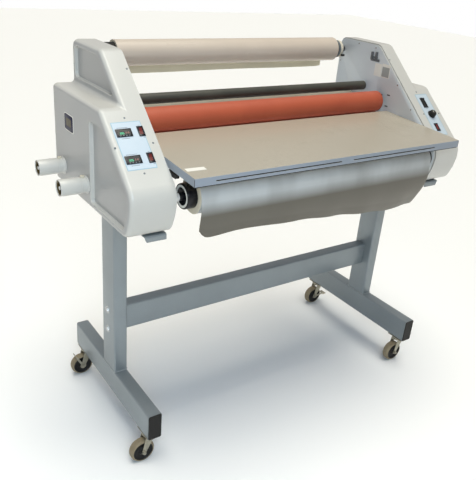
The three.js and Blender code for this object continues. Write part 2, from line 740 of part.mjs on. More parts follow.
// ---- controls ------------------------------------------------------------------------------
// Each rocker rests tipped one way and flips about a pin below the panel.
function rocker({ name, x, s, wide, long }) {
  const h = long / 2;
  const face = new THREE.Shape();
  face.moveTo(-h, -6);
  face.lineTo(h, -6);
  face.lineTo(h, 1.2 + ROCKER_TILT_RISE);
  face.lineTo(0, 2);
  face.lineTo(-h, 1.2);
  face.closePath();
  const geometry = onPanel(prismX(face, -wide / 2, wide / 2), x, s);
  place(name, weld(geometry), x < 0 ? FINISH.redRocker : FINISH.blackPlastic);
}

function controller({ name, x, s }) {
  const c = CONTROLLER;
  const bezel = new THREE.BoxGeometry(c.wide, c.high, c.bezel);
  bezel.translate(0, 0, c.bezel / 2 + GAP);
  const body = new THREE.BoxGeometry(c.bodyWide, c.bodyHigh, c.bodyDeep);
  body.translate(0, 0, 1 - c.bodyDeep / 2);
  const whole = solid(onPanel(bezel, x, s)).add(solid(onPanel(body, x, s)));
  place(name, whole, FINISH.blackPlastic);
}

function knob() {
  const { x, s, r, high, stemR } = KNOB;
  const cap = new THREE.CylinderGeometry(r * 0.88, r, high, 24).rotateX(Math.PI / 2);
  cap.translate(0, 0, high / 2 + GAP);
  const stem = new THREE.CylinderGeometry(stemR, stemR, 24, 12).rotateX(Math.PI / 2);
  stem.translate(0, 0, -8);
  const whole = solid(onPanel(cap, x, s)).add(solid(onPanel(stem, x, s)));
  place("speed_knob", whole, FINISH.blackPlastic);
}

function powerInlet() {
  const { x, z, wide, high, bodyDeep } = INLET;
  const face = CABINET_REAR + GAP;
  const flange = box(x - wide / 2, x + wide / 2, face, face + 2, z - high / 2, z + high / 2);
  const a = wide / 2 - 5;
  const b = high / 2 - 5;
  const body = box(x - a, x + a, face - bodyDeep, face + 1, z - b, z + b);
  const socket = box(x - a + 4, x + a - 4, face - 12, face + 3, z - b + 2, z + b - 2);
  const whole = solid(flange).add(solid(body)).subtract(solid(socket));
  place("power_inlet", whole, FINISH.blackPlastic);
}

// ---- assembly ------------------------------------------------------------------------------
for (const { side, sign } of SIDES) {
  foot(side, sign);
  footCap(side, sign);
  post(side, sign);
  cabinetSupport(side, sign);
  sidePlate(side, sign);
  cover(side, sign);
  bearingBlock(side, sign);
}
stretcher();
casters();
tieBar();
feedShelf();
rollers();
mandrel("upper_mandrel", UPPER_ROLL);
mandrel("lower_mandrel", LOWER_ROLL);
filmRoll("upper_film_roll", UPPER_ROLL);
filmRoll("lower_film_roll", LOWER_ROLL);
coreChuck("upper_chuck_left", UPPER_ROLL, -1, CHUCK_R, FINISH.blackPlastic);
coreChuck("upper_chuck_right", UPPER_ROLL, 1, COLLAR_R, FINISH.collar);
coreChuck("lower_chuck_left", LOWER_ROLL, -1, LOWER_CHUCK_R, FINISH.blackPlastic);
upperTail();
lowerTail();
guardTube("guard_tube_rear", GUARD.rearY);
guardTube("guard_tube_front", GUARD.frontY);
takeUpMandrel("take_up_mandrel_rear", GUARD.rearY);
takeUpMandrel("take_up_mandrel_front", GUARD.frontY);
drive();
ROCKERS.forEach(rocker);
CONTROLLERS.forEach(controller);
knob();
powerInlet();

export default model;
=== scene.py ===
"""Looks of the roll laminator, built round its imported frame. Metres, in the row frame."""

import math

import bmesh
import bpy
from mathutils import Matrix, Vector


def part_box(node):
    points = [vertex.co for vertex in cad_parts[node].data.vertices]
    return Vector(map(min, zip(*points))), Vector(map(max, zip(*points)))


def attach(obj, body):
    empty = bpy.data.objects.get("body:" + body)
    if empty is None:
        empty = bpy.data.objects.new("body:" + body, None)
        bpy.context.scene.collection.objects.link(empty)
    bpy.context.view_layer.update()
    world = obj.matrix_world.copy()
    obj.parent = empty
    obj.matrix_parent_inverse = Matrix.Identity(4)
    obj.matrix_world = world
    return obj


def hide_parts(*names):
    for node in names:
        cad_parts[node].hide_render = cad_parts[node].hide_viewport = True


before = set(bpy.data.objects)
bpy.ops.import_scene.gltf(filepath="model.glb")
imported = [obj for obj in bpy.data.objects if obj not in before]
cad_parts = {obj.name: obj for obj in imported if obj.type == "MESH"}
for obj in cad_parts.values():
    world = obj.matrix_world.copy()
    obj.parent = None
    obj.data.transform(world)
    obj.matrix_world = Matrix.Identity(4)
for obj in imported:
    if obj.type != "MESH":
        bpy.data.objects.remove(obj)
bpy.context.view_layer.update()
MM = 0.001

# The stand frame: millimetres from the middle of the stand, its post centres and the floor.
_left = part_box("post_left")
_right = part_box("post_right")
OX = (_left[0].x + _right[1].x) / 2
OY = (_left[0].y + _left[1].y) / 2


def at(x, y, z):
    return Vector((OX + x * MM, OY + y * MM, z * MM))


# ---- camera, light and floor ---------------------------------------------------------------
CAMERA_AT = (-1415.0, -1774.5, 1657.1)
CAMERA_YAW, CAMERA_PITCH, CAMERA_ROLL = 0.6325, 0.4376, -0.0867
CAMERA_LENS, CAMERA_SENSOR = 46.7697, 36.0


def link(name, data):
    """A new object in the scene, round a mesh, a light or a camera."""
    obj = bpy.data.objects.new(name, data)
    bpy.context.scene.collection.objects.link(obj)
    return obj


def make_camera():
    cy, sy = math.cos(CAMERA_YAW), math.sin(CAMERA_YAW)
    cp, sp = math.cos(CAMERA_PITCH), math.sin(CAMERA_PITCH)
    ahead = Vector((sy * cp, cy * cp, -sp))
    right = Vector((cy, -sy, 0))
    down = ahead.cross(right)
    cr, sr = math.cos(CAMERA_ROLL), math.sin(CAMERA_ROLL)
    x_axis = right * cr + down * sr
    y_axis = right * sr - down * cr
    data = bpy.data.cameras.new("camera")
    data.sensor_fit = "HORIZONTAL"
    data.sensor_width = CAMERA_SENSOR
    data.lens = CAMERA_LENS
    data.clip_start, data.clip_end = 0.05, 60
    cam = link("camera", data)
    turn = Matrix((x_axis, y_axis, -ahead)).transposed().to_4x4()
    cam.matrix_world = Matrix.Translation(at(*CAMERA_AT)) @ turn
    bpy.context.scene.camera = cam


def lamp(name, kind, energy, color, aim):
    light = link(name, bpy.data.lights.new(name, kind))
    light.data.energy, light.data.color = energy, color
    light.rotation_euler = aim.to_track_quat("-Z", "Y").to_euler()
    return light


def area_light(name, place, target, size, watts, color, spread):
    light = lamp(name, "AREA", watts, color, Vector(target) - Vector(place))
    light.location = place
    light.data.shape = "DISK"
    light.data.size = size
    light.data.spread = math.radians(spread)


def sun_light(name, toward, strength, color, spread):
    light = lamp(name, "SUN", strength, color, -Vector(toward))
    light.data.angle = math.radians(spread)


def make_world():
    """White to the camera, dim and bluish as light, brighter in reflections."""
    world = bpy.data.worlds.new("studio")
    bpy.context.scene.world = world
    world.use_nodes = True
    tree = world.node_tree
    tree.nodes.clear()
    path = tree.nodes.new("ShaderNodeLightPath")

    def background(color, strength):
        node = tree.nodes.new("ShaderNodeBackground")
        node.inputs["Color"].default_value = (*color, 1)
        node.inputs["Strength"].default_value = strength
        return node.outputs[0]

    def pick(ray, otherwise, chosen):
        node = tree.nodes.new("ShaderNodeMixShader")
        for source, socket in zip((path.outputs[ray], otherwise, chosen), node.inputs):
            tree.links.new(source, socket)
        return node.outputs[0]

    ambient = background((0.86, 0.93, 1.0), 0.12)
    mirrored = background((0.95, 0.97, 1.0), 0.45)
    seen = background((1, 1, 1), 1.0)
    sky = pick("Is Camera Ray", pick("Is Glossy Ray", ambient, mirrored), seen)
    tree.links.new(sky, tree.nodes.new("ShaderNodeOutputWorld").inputs[0])


def make_studio():
    make_world()
    sun_light("overhead", (0.03, 0.0, 1.0), 2.4, (1.0, 0.945, 0.82), 44)
    sun_light("skylight", (-0.05, -0.40, 0.92), 0.60, (0.97, 0.98, 1.0), 50)
    area_light("front", (-1.5, -2.3, 2.1), (-0.6, -0.1, 0.95), 1.4, 11, (0.66, 0.84, 1.0), 100)
    bpy.context.scene.view_settings.view_transform = "Standard"


make_camera()
make_studio()


# ---- materials ------------------------------------------------------------------------------
def rgb(r, g, b):
    def linear(c):
        c /= 255
        return c / 12.92 if c <= 0.04045 else ((c + 0.055) / 1.055) ** 2.4

    return linear(r), linear(g), linear(b), 1.0


class Nodes:
    """Short names for building one material's node tree."""

    def __init__(self, name):
        self.material = bpy.data.materials.new(name)
        self.material.use_nodes = True
        self.tree = self.material.node_tree
        self.tree.nodes.clear()
        self.out = self.add("OutputMaterial")
        self.shader = self.add("BsdfPrincipled")
        self.link(self.shader.outputs[0], self.out.inputs[0])
        self.coord = self.add("TexCoord").outputs["Object"]

    def add(self, kind, **settings):
        node = self.tree.nodes.new("ShaderNode" + kind)
        self.set(node, **settings)
        return node

    def set(self, node=None, **settings):
        """Sets sockets of a node, or of the shader, by name with _ for a space."""
        for socket, value in settings.items():
            (node or self.shader).inputs[socket.replace("_", " ")].default_value = value

    def link(self, a, b):
        self.tree.links.new(a, b)

    def put(self, value, socket):
        if isinstance(value, bpy.types.NodeSocket):
            self.link(value, socket)
        else:
            socket.default_value = value

    def stretched(self, scale):
        node = self.add("Mapping", Scale=scale)
        self.link(self.coord, node.inputs[0])
        return node.outputs[0]

    def noise(self, scale, detail=3, stretch=None):
        node = self.add("TexNoise", Scale=scale, Detail=detail, Roughness=0.55)
        self.link(self.stretched(stretch) if stretch else self.coord, node.inputs["Vector"])
        return node.outputs["Fac"]

    def ramp(self, value, low, high, to_low=0.0, to_high=1.0):
        node = self.add("MapRange", From_Min=low, From_Max=high, To_Min=to_low, To_Max=to_high)
        self.link(value, node.inputs["Value"])
        return node.outputs[0]

    def math(self, kind, a, b):
        node = self.add("Math")
        node.operation = kind
        node.use_clamp = True
        self.put(a, node.inputs[0])
        self.put(b, node.inputs[1])
        return node.outputs[0]

    def mix(self, share, a, b):
        node = self.add("Mix")
        node.data_type = "RGBA"
        self.put(share, node.inputs[0])
        self.put(a, node.inputs[6])
        self.put(b, node.inputs[7])
        return node.outputs[2]

    def bump(self, height, strength):
        node = self.add("Bump", Strength=strength, Distance=0.001)
        self.link(height, node.inputs["Height"])
        self.link(node.outputs[0], self.shader.inputs["Normal"])

    def edges(self):
        """1 on sharp edges and corners, fading to 0 on the flat."""
        rounded = self.add("Bevel", Radius=0.0018)
        rounded.samples = 4
        flat = self.add("NewGeometry")
        dot = self.add("VectorMath")
        dot.operation = "DOT_PRODUCT"
        self.link(rounded.outputs[0], dot.inputs[0])
        self.link(flat.outputs["Normal"], dot.inputs[1])
        return self.ramp(self.math("SUBTRACT", 1.0, dot.outputs["Value"]), 0.015, 0.12)

    def part(self, vector, index):
        node = self.add("SeparateXYZ")
        self.link(vector, node.inputs[0])
        return node.outputs[index]

    def side_shade_mask(self):
        """1 on faces that look left or right, 0 on the rest: the mask for painted side shade."""
        across = self.part(self.add("NewGeometry").outputs["Normal"], 0)
        return self.ramp(self.math("ABSOLUTE", across, 0.0), 0.80, 0.99)


def surface(name, color, mottle, mottle_scale, rough, *, share=0.5, metal=0.0, grain=900,
            stretch=None, bump=0.1, wear_and_highlight=None, coat=0.0, specular=0.5, sheen=0.0, side=None):
    """A base colour with broad mottling, a fine grain in roughness and relief, worn edges that on
    the shell are a painted highlight and, with side, a painted shade: a darker colour on the
    faces that look left or right. Colours are 0 to 255."""
    n = Nodes(name)
    broad = n.noise(mottle_scale, 4)
    fine = n.noise(grain, 2, stretch)
    base = n.mix(n.ramp(broad, 0.35, 0.7, 0.0, share), rgb(*color), rgb(*mottle))
    dark = tuple(c * 0.6 for c in rgb(*mottle)[:3]) + (1.0,)
    base = n.mix(n.ramp(fine, 0.3, 0.7, 0.0, 0.10), base, dark)
    # Painted shade: faces that look left or right take the darker side colour.
    if side:
        base = n.mix(n.side_shade_mask(), base, rgb(*side))
    # Edge colour: wear on rubbed edges, and on the shell a painted highlight.
    if wear_and_highlight:
        patchy = n.ramp(n.noise(60, 4), 0.40, 0.66, 0.1, 0.9)
        base = n.mix(n.math("MULTIPLY", n.edges(), patchy), base, rgb(*wear_and_highlight))
    n.put(base, n.shader.inputs["Base Color"])
    mixed = n.math("ADD", n.math("MULTIPLY", broad, 0.5), n.math("MULTIPLY", fine, 0.5))
    n.link(n.ramp(mixed, 0.35, 0.65, *rough), n.shader.inputs["Roughness"])
    n.bump(fine, bump)
    n.set(Metallic=metal, Coat_Weight=coat, Coat_Roughness=0.15, Specular_IOR_Level=specular,
          Sheen_Weight=sheen)
    return n.material


def glowing(name, color, strength):
    n = Nodes(name)
    fine = n.noise(900, 2)
    n.link(n.mix(n.ramp(fine, 0.3, 0.7, 0.0, 0.3), color, (0.02, 0.05, 0.02, 1)),
           n.shader.inputs["Base Color"])
    n.set(Emission_Color=color, Emission_Strength=strength, Roughness=0.4)
    return n.material


def hanging_film(name, light, dark, z_high, z_low, through):
    """Film coloured by height, from light on its roll to dark where it hangs free. This is painted
    light and shade: the lower tail hangs in painted shade, the upper tail's hanging part is painted
    lighter, as light coming through it.
    """
    n = Nodes(name)
    broad = n.noise(7, 3, (1, 1, 0.35))
    fine = n.noise(350, 2, (0.25, 1, 1))
    # Painted light and shade by height: dark below z_low, light above z_high.
    base = n.mix(n.ramp(n.part(n.coord, 2), z_low, z_high), dark, light)
    cloudy = tuple(c * 0.86 for c in dark[:3]) + (1.0,)
    base = n.mix(n.ramp(broad, 0.35, 0.7, 0.0, 0.35), base, cloudy)
    n.put(base, n.shader.inputs["Base Color"])
    n.link(n.ramp(broad, 0.3, 0.7, 0.30, 0.42), n.shader.inputs["Roughness"])
    n.bump(n.math("ADD", n.math("MULTIPLY", broad, 0.8), n.math("MULTIPLY", fine, 0.1)), 0.25)
    n.set(Coat_Weight=0.15, Coat_Roughness=0.3)
    if through:
        glow = n.add("BsdfTranslucent")
        n.put(base, glow.inputs["Color"])
        both = n.add("MixShader")
        both.inputs[0].default_value = through
        n.link(n.shader.outputs[0], both.inputs[1])
        n.link(glow.outputs[0], both.inputs[2])
        n.link(both.outputs[0], n.out.inputs[0])
    return n.material


MAT = {
    # Cover paint: side is painted shade on the side faces, the pale edge a painted highlight.
    "shell": surface("shell_paint", (205, 204, 199), (196, 194, 186), 3, (0.3, 0.42), bump=0.1,
        wear_and_highlight=(238, 237, 232), coat=0.25, side=(171, 171, 170)),
    "stand": surface("stand_paint", (146, 154, 158), (132, 139, 142), 4, (0.3, 0.42), metal=0.45,
        grain=700, bump=0.08, wear_and_highlight=(196, 198, 194)),
    "plate": surface("plate_paint", (224, 229, 232), (214, 220, 224), 4, (0.32, 0.46), grain=800,
        bump=0.1, wear_and_highlight=(222, 222, 214)),
    # The shelf's top and lip are one grey paint: the top's beige is painted warm light from above,
    # the lip's blue-grey a painted cool reflection.
    "shelf": surface("shelf_paint_lit", (181, 173, 157), (171, 163, 147), 3, (0.24, 0.34), bump=0.02,
        wear_and_highlight=(226, 220, 204), coat=0.15),
    "shelf_lip_shaded": surface("shelf_lip_shaded_paint", (146, 155, 167), (132, 142, 152), 4, (0.28, 0.4),
        bump=0.03, wear_and_highlight=(206, 208, 206)),
    "steel": surface("turned_steel", (190, 190, 188), (150, 150, 148), 9, (0.18, 0.34), metal=1.0,
        stretch=(4, 0.5, 0.5), bump=0.12),
    "zinc": surface("zinc_plate", (176, 172, 156), (132, 128, 112), 30, (0.28, 0.46), share=0.6,
        metal=0.85, grain=700, bump=0.18, wear_and_highlight=(214, 210, 198)),
    "black": surface("black_plastic", (22, 21, 20), (34, 33, 31), 20, (0.4, 0.55), bump=0.2,
        wear_and_highlight=(84, 82, 78), specular=0.25),
    "gloss_black": surface("black_gloss", (16, 16, 20), (26, 26, 32), 20, (0.22, 0.32), share=0.4,
        bump=0.05, specular=0.35),
    "bright_steel": surface("bright_steel", (226, 226, 224), (206, 206, 204), 30, (0.16, 0.28),
        metal=0.35, bump=0.05),
    "dark_steel": surface("dark_steel", (128, 128, 132), (96, 96, 100), 20, (0.2, 0.34), metal=1.0,
        bump=0.1),
    "tread": surface("wheel_tread", (150, 137, 112), (118, 106, 84), 26, (0.55, 0.75), share=0.6,
        grain=500, bump=0.3, wear_and_highlight=(178, 166, 142)),
    "silicone": surface("roller_silicone", (186, 86, 54), (170, 74, 46), 6, (0.5, 0.66), share=0.6,
        grain=420, stretch=(3, 0.6, 0.6), bump=0.1, wear_and_highlight=(150, 70, 54), sheen=0.05),
    "black_roll": surface("roller_black", (52, 53, 46), (82, 80, 68), 9, (0.42, 0.62), share=0.6,
        grain=420, stretch=(0.4, 1, 1), bump=0.18, wear_and_highlight=(96, 94, 84)),
    "grey_roll": surface("roller_grey", (158, 154, 140), (134, 130, 118), 6, (0.55, 0.7),
        share=0.6, grain=420, stretch=(3, 0.6, 0.6), bump=0.1),
    "film_up": surface("film_upper", (216, 202, 186), (204, 188, 172), 5, (0.26, 0.38), grain=60,
        stretch=(0.05, 1, 1), bump=0.05, coat=0.2),
    "film_low": surface("film_lower", (203, 205, 203), (190, 192, 188), 5, (0.28, 0.4), grain=60,
        stretch=(0.05, 1, 1), bump=0.05, coat=0.2),
    "core": surface("core_card", (220, 212, 192), (204, 194, 170), 40, (0.7, 0.85), grain=500,
        bump=0.3),
    "ivory": surface("ivory_plastic", (222, 215, 196), (206, 198, 176), 12, (0.36, 0.5), bump=0.1,
        wear_and_highlight=(190, 182, 160)),
    "hub": surface("hub_grey", (120, 128, 132), (98, 104, 106), 20, (0.3, 0.45), metal=0.3,
        grain=700, bump=0.12, wear_and_highlight=(170, 172, 170)),
    "cast": surface("cast_grey", (112, 116, 120), (84, 88, 92), 30, (0.5, 0.7), share=0.6,
        metal=0.4, grain=300, bump=0.4, wear_and_highlight=(160, 160, 156)),
    "label": surface("label_blue", (200, 213, 223), (188, 203, 215), 14, (0.26, 0.36), share=0.4,
        bump=0.03),
    "print": surface("label_print", (96, 104, 118), (84, 92, 104), 30, (0.4, 0.5), share=0.4,
        bump=0.03),
    "navy": surface("badge_navy", (34, 32, 66), (24, 22, 46), 50, (0.4, 0.5), bump=0.04,
        specular=0.2),
    "badge_tan": surface("badge_tan", (112, 104, 84), (84, 78, 64), 70, (0.4, 0.5), bump=0.05,
        specular=0.2),
    "label_edge": surface("label_edge", (160, 192, 206), (148, 182, 198), 14, (0.3, 0.4),
        share=0.4, bump=0.03),
    "lens_red": surface("rocker_lens", (112, 28, 22), (80, 18, 14), 50, (0.18, 0.3), share=0.6,
        bump=0.05, coat=0.3),
    "white": surface("white_sticker", (244, 242, 234), (234, 230, 218), 30, (0.4, 0.5), share=0.4,
        bump=0.03),
    "sticker_grey": surface("grey_sticker", (168, 170, 168), (150, 152, 150), 30, (0.4, 0.5),
        share=0.4, bump=0.03),
    "window": surface("meter_window", (62, 62, 60), (84, 80, 76), 60, (0.1, 0.18), bump=0.02,
        coat=0.5),
    "digit_green": glowing("digit_green", (0.1, 0.8, 0.4, 1), 0.45),
    "digit_red": glowing("digit_red", (0.6, 0.25, 0.2, 1), 0.12),
    # Near black: painted shade (post band, under the shelf lip, in its slots) and dark parts.
    "dark": surface("dark_gap", (18, 17, 16), (28, 26, 24), 30, (0.6, 0.8), share=0.4, grain=700,
        bump=0.1),
    "brass": surface("bore_bronze", (120, 104, 66), (86, 74, 48), 40, (0.35, 0.55), share=0.6,
        metal=0.7, grain=500, bump=0.3),
    "weld": surface("weld_bead", (168, 174, 176), (146, 152, 154), 60, (0.3, 0.45), share=0.6,
        metal=0.3, grain=160, bump=0.6, wear_and_highlight=(206, 208, 206)),
    # Film tails: the lower one's hanging part painted shade, the upper one's painted lighter.
    "tail_low": hanging_film("film_tail_lower", rgb(198, 201, 201), rgb(99, 94, 83), 0.972, 0.928,
        0.0),
    "tail_up": hanging_film("film_tail_upper", rgb(226, 218, 202), rgb(242, 238, 224), 1.3, 1.26,
        0.75),
}


# ---- mesh helpers ---------------------------------------------------------------------------
def mesh_of(bm, name):
    """The mesh of a bmesh, which is freed."""
    mesh = bpy.data.meshes.new(name)
    bm.to_mesh(mesh)
    bm.free()
    return mesh


def publish(name, bm, mats, body="frame", stands_for=(), smooth=40, weighted=False):
    """Turns a bmesh into a piece that rides on a body."""
    bmesh.ops.recalc_face_normals(bm, faces=bm.faces)
    mesh = mesh_of(bm, name)
    mats = mats if isinstance(mats, (list, tuple)) else [mats]
    for key in mats:
        mesh.materials.append(MAT[key])
    mesh.polygons.foreach_set("use_smooth", [True] * len(mesh.polygons))
    mesh.set_sharp_from_angle(angle=math.radians(smooth))
    obj = link(name, mesh)
    if weighted:
        mod = obj.modifiers.new("weighted", "WEIGHTED_NORMAL")
        mod.keep_sharp = True
    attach(obj, body)
    if stands_for:
        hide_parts(*stands_for)
    return obj


def merge(bm, other, index=0):
    """Adds the faces of another bmesh, with one material index, and frees it."""
    for f in other.faces:
        f.material_index = index
    mesh = mesh_of(other, "scratch")
    bm.from_mesh(mesh)
    bpy.data.meshes.remove(mesh)
    return bm


def lathe(profile, segments=72):
    """A turned solid about local +Z; profile is [height, radius] pairs, closed on the axis or
    closed on itself when its first and last points are the same."""
    bm = bmesh.new()
    closed = profile[0] == profile[-1] and profile[0][1] > 0
    rings = []
    for h, r in profile[:-1] if closed else profile:
        turns = [math.tau * i / segments for i in range(segments if r > 1e-9 else 1)]
        rings.append([bm.verts.new((r * math.cos(a), r * math.sin(a), h)) for a in turns])
    count = len(rings)
    for k in range(count if closed else count - 1):
        a, b = rings[k], rings[(k + 1) % count]
        for i in range(segments):
            j = (i + 1) % segments
            quad = [a[i % len(a)], a[j % len(a)], b[j % len(b)], b[i % len(b)]]
            face = list(dict.fromkeys(quad))
            if len(face) > 2:
                bm.faces.new(face)
    return bm


def loft(sections, closed=False, caps=False):
    """A solid through successive loops of points, back to the first if closed, with flat
    caps on the first and last if asked."""
    bm = bmesh.new()
    rings = [[bm.verts.new(p) for p in section] for section in sections]
    n = len(rings[0])
    for a, b in zip(rings, rings[1:] + rings[:1] if closed else rings[1:]):
        for i in range(n):
            j = (i + 1) % n
            bm.faces.new((a[i], a[j], b[j], b[i]))
    if caps:
        bm.faces.new(rings[0])
        bm.faces.new(rings[-1])
    return bm


def folded(sections):
    """A bent sheet through loops that run out along one side and back along the other."""
    bm = loft(sections)
    bm.verts.ensure_lookup_table()
    n = len(sections[0])
    for first in (0, len(bm.verts) - n):
        ring = bm.verts[first:first + n]
        for j in range(n // 2 - 1):
            bm.faces.new((ring[j], ring[j + 1], ring[-2 - j], ring[-1 - j]))
    return bm


shift = Matrix.Translation
TO_X = Matrix.Rotation(math.pi / 2, 4, "Y")
TO_Y = Matrix.Rotation(-math.pi / 2, 4, "X")


def moved(bm, *matrices):
    for m in matrices:
        bmesh.ops.transform(bm, matrix=m, verts=bm.verts)
    return bm


def lathe_mm(profile, segments):
    return lathe([(h * MM, r * MM) for h, r in profile], segments)


def turned(profile, y, z, segments=72):
    """A turned solid about the X axis through stand point (y, z); profile in mm, x first."""
    bm = moved(lathe_mm(profile, segments), TO_X, shift(at(0, y, z)))
    bm.normal_update()
    return bm


def bend(a, b, c, t):
    """A point on the curve that leaves a towards b and arrives at c."""
    return a.lerp(b, t).lerp(b.lerp(c, t), t)


def fillet(profile, radius, steps=3):
    """Rounds the inner corners of an open profile of (x, r) pairs."""
    out = [profile[0]]
    for before, here, after in zip(profile, profile[1:], profile[2:]):
        a, p, b = Vector(before), Vector(here), Vector(after)
        r = min(radius, (a - p).length * 0.45, (b - p).length * 0.45)
        if r < 1e-6 or here[1] <= 1e-9:
            out.append(here)
            continue
        start = p + (a - p).normalized() * r
        end = p + (b - p).normalized() * r
        for i in range(steps + 1):
            q = bend(start, p, end, i / steps)
            out.append((q.x, q.y))
    out.append(profile[-1])
    return out


def looped(profile):
    """The profile of a hollow turned piece, closed on its first point."""
    return profile + [profile[0]]


def round_edges(bm, edges, radius, segments, clamp=False):
    bmesh.ops.bevel(bm, geom=edges, offset=radius, segments=segments, profile=0.5,
                    affect="EDGES", clamp_overlap=clamp)


def cuboid(size, centre, bevel, segments):
    bm = bmesh.new()
    bmesh.ops.create_cube(bm, size=1)
    moved(bm, Matrix.Diagonal((*size, 1)), shift(centre))
    if bevel:
        round_edges(bm, bm.edges[:], bevel, segments)
    return bm


def block(x0, x1, y0, y1, z0, z1, bevel=0.0, segments=2):
    """A stand-frame box in mm with rounded edges."""
    size = (abs(x1 - x0) * MM, abs(y1 - y0) * MM, abs(z1 - z0) * MM)
    centre = at((x0 + x1) / 2, (y0 + y1) / 2, (z0 + z1) / 2)
    return cuboid(size, centre, bevel * MM, segments)


def facing(normal):
    return Vector(normal).to_track_quat("Z", "Y").to_matrix().to_4x4()


def bead(point, size, normal=(0, 0, 1), flat=0.4):
    """A low domed screw or rivet head of that radius in mm."""
    r = size * MM
    profile = [(-0.3 * r, 0), (-0.3 * r, r), (0.12 * r, r), (flat * r * 0.8, r * 0.72),
               (flat * r, r * 0.35), (flat * r, 0)]
    return moved(lathe(profile, 20), facing(normal), shift(point))


def hex_bolt(point, size, normal, washer=True):
    r = size * MM
    bm = lathe([(0, 0), (0, r), (0.55 * r, r), (0.65 * r, 0.86 * r), (0.65 * r, 0)], 6)
    if washer:
        merge(bm, lathe([(-0.1 * r, 0), (-0.1 * r, 1.5 * r), (0.12 * r, 1.5 * r),
                         (0.12 * r, 0)], 24))
    return moved(bm, facing(normal), shift(point))


def cad_copy(node, bevel=0.8, segments=2, angle=30):
    """A CAD solid with its flat faces made whole and its sharp edges rounded."""
    bm = bmesh.new()
    bm.from_mesh(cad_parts[node].data)
    bmesh.ops.remove_doubles(bm, verts=bm.verts, dist=2e-6)
    bmesh.ops.dissolve_limit(bm, angle_limit=math.radians(1.5), verts=bm.verts, edges=bm.edges)
    sharp = [e for e in bm.edges
             if len(e.link_faces) == 2 and e.calc_face_angle(0) > math.radians(angle)]
    round_edges(bm, sharp, bevel * MM, segments, clamp=True)
    return bm


def loose(bm):
    """A scratch object that isn't a piece yet."""
    bmesh.ops.recalc_face_normals(bm, faces=bm.faces)
    return link("loose", mesh_of(bm, "loose"))


def drop(obj):
    mesh = obj.data
    bpy.data.objects.remove(obj)
    bpy.data.meshes.remove(mesh)


def reopen(obj):
    """The bmesh of a scratch object, which is removed."""
    bm = bmesh.new()
    bm.from_mesh(obj.data)
    drop(obj)
    return bm


def fix(obj):
    """Applies a piece's modifiers to its mesh."""
    graph = bpy.context.evaluated_depsgraph_get()
    graph.update()
    made = bpy.data.meshes.new_from_object(obj.evaluated_get(graph))
    obj.modifiers.clear()
    old = obj.data
    obj.data = made
    bpy.data.meshes.remove(old)


def cut(obj, tool_bm):
    """Cuts a closed bmesh out of a scratch object, for good."""
    tool = loose(tool_bm)
    mod = obj.modifiers.new("cut", "BOOLEAN")
    mod.operation = "DIFFERENCE"
    mod.solver = "EXACT"
    mod.object = tool
    fix(obj)
    drop(tool)


# ---- stand ----------------------------------------------------------------------------------
TUBE_WIDE, TUBE_DEEP, TUBE_WALL = 50.8, 101.6, 3.0
TUBE_CORNER = 7.0
STAND_HALF = 660.0
STRETCHER_FRONT, STRETCHER_LOW = -9, 366
STRETCHER_BOLTS = (5, (379, 459))
FOOT_HALF, FOOT_BOTTOM = 325.0, 116.0
SUPPORT_TOP = 867.7
SIDES = (("left", -1), ("right", 1))


def rounded_rectangle(wide, deep, r, steps=5):
    points = []
    for cx, cy, start in ((1, 1, 0), (-1, 1, 90), (-1, -1, 180), (1, -1, 270)):
        for i in range(steps + 1):
            a = math.radians(start + 90 * i / steps)
            points.append((cx * (wide / 2 - r) + r * math.cos(a),
                           cy * (deep / 2 - r) + r * math.sin(a)))
    return points


def tube_bm(wide, deep, long):
    """A hollow rounded tube along local +Z from 0, in mm."""
    outer = rounded_rectangle(wide, deep, TUBE_CORNER)
    inner = rounded_rectangle(wide - 2 * TUBE_WALL, deep - 2 * TUBE_WALL,
                              TUBE_CORNER - TUBE_WALL)
    return loft([[(x * MM, y * MM, z * MM) for x, y in shape]
                 for shape, z in ((inner, 0), (outer, 0), (outer, long), (inner, long))],
                closed=True)


def ring_bead(points, r):
    """A thin bumpy bead of weld round a closed path in stand mm."""
    path = [at(*p) for p in points]
    rings = []
    n = len(path)
    for i, p in enumerate(path):
        along = (path[(i + 1) % n] - path[i - 1]).normalized()
        side = along.cross(Vector((0.31, 0.47, 0.83))).normalized()
        up = along.cross(side).normalized()
        k = 1 + 0.35 * math.sin(i * 1.9)
        rings.append([p + (side * math.cos(a) + up * math.sin(a)) * r * MM * k
                      for a in (math.tau * j / 8 for j in range(8))])
    return loft(rings, closed=True)


def outline_path(cx, cy, z, wide, deep, step=5.0):
    """A rounded rectangle as closely spaced points at one height."""
    corners = rounded_rectangle(wide, deep, TUBE_CORNER)
    out = []
    for (x0, y0), (x1, y1) in zip(corners, corners[1:] + corners[:1]):
        span = math.hypot(x1 - x0, y1 - y0)
        n = max(1, int(span / step))
        out += [(cx + x0 + (x1 - x0) * i / n, cy + y0 + (y1 - y0) * i / n, z)
                for i in range(n)]
    return out


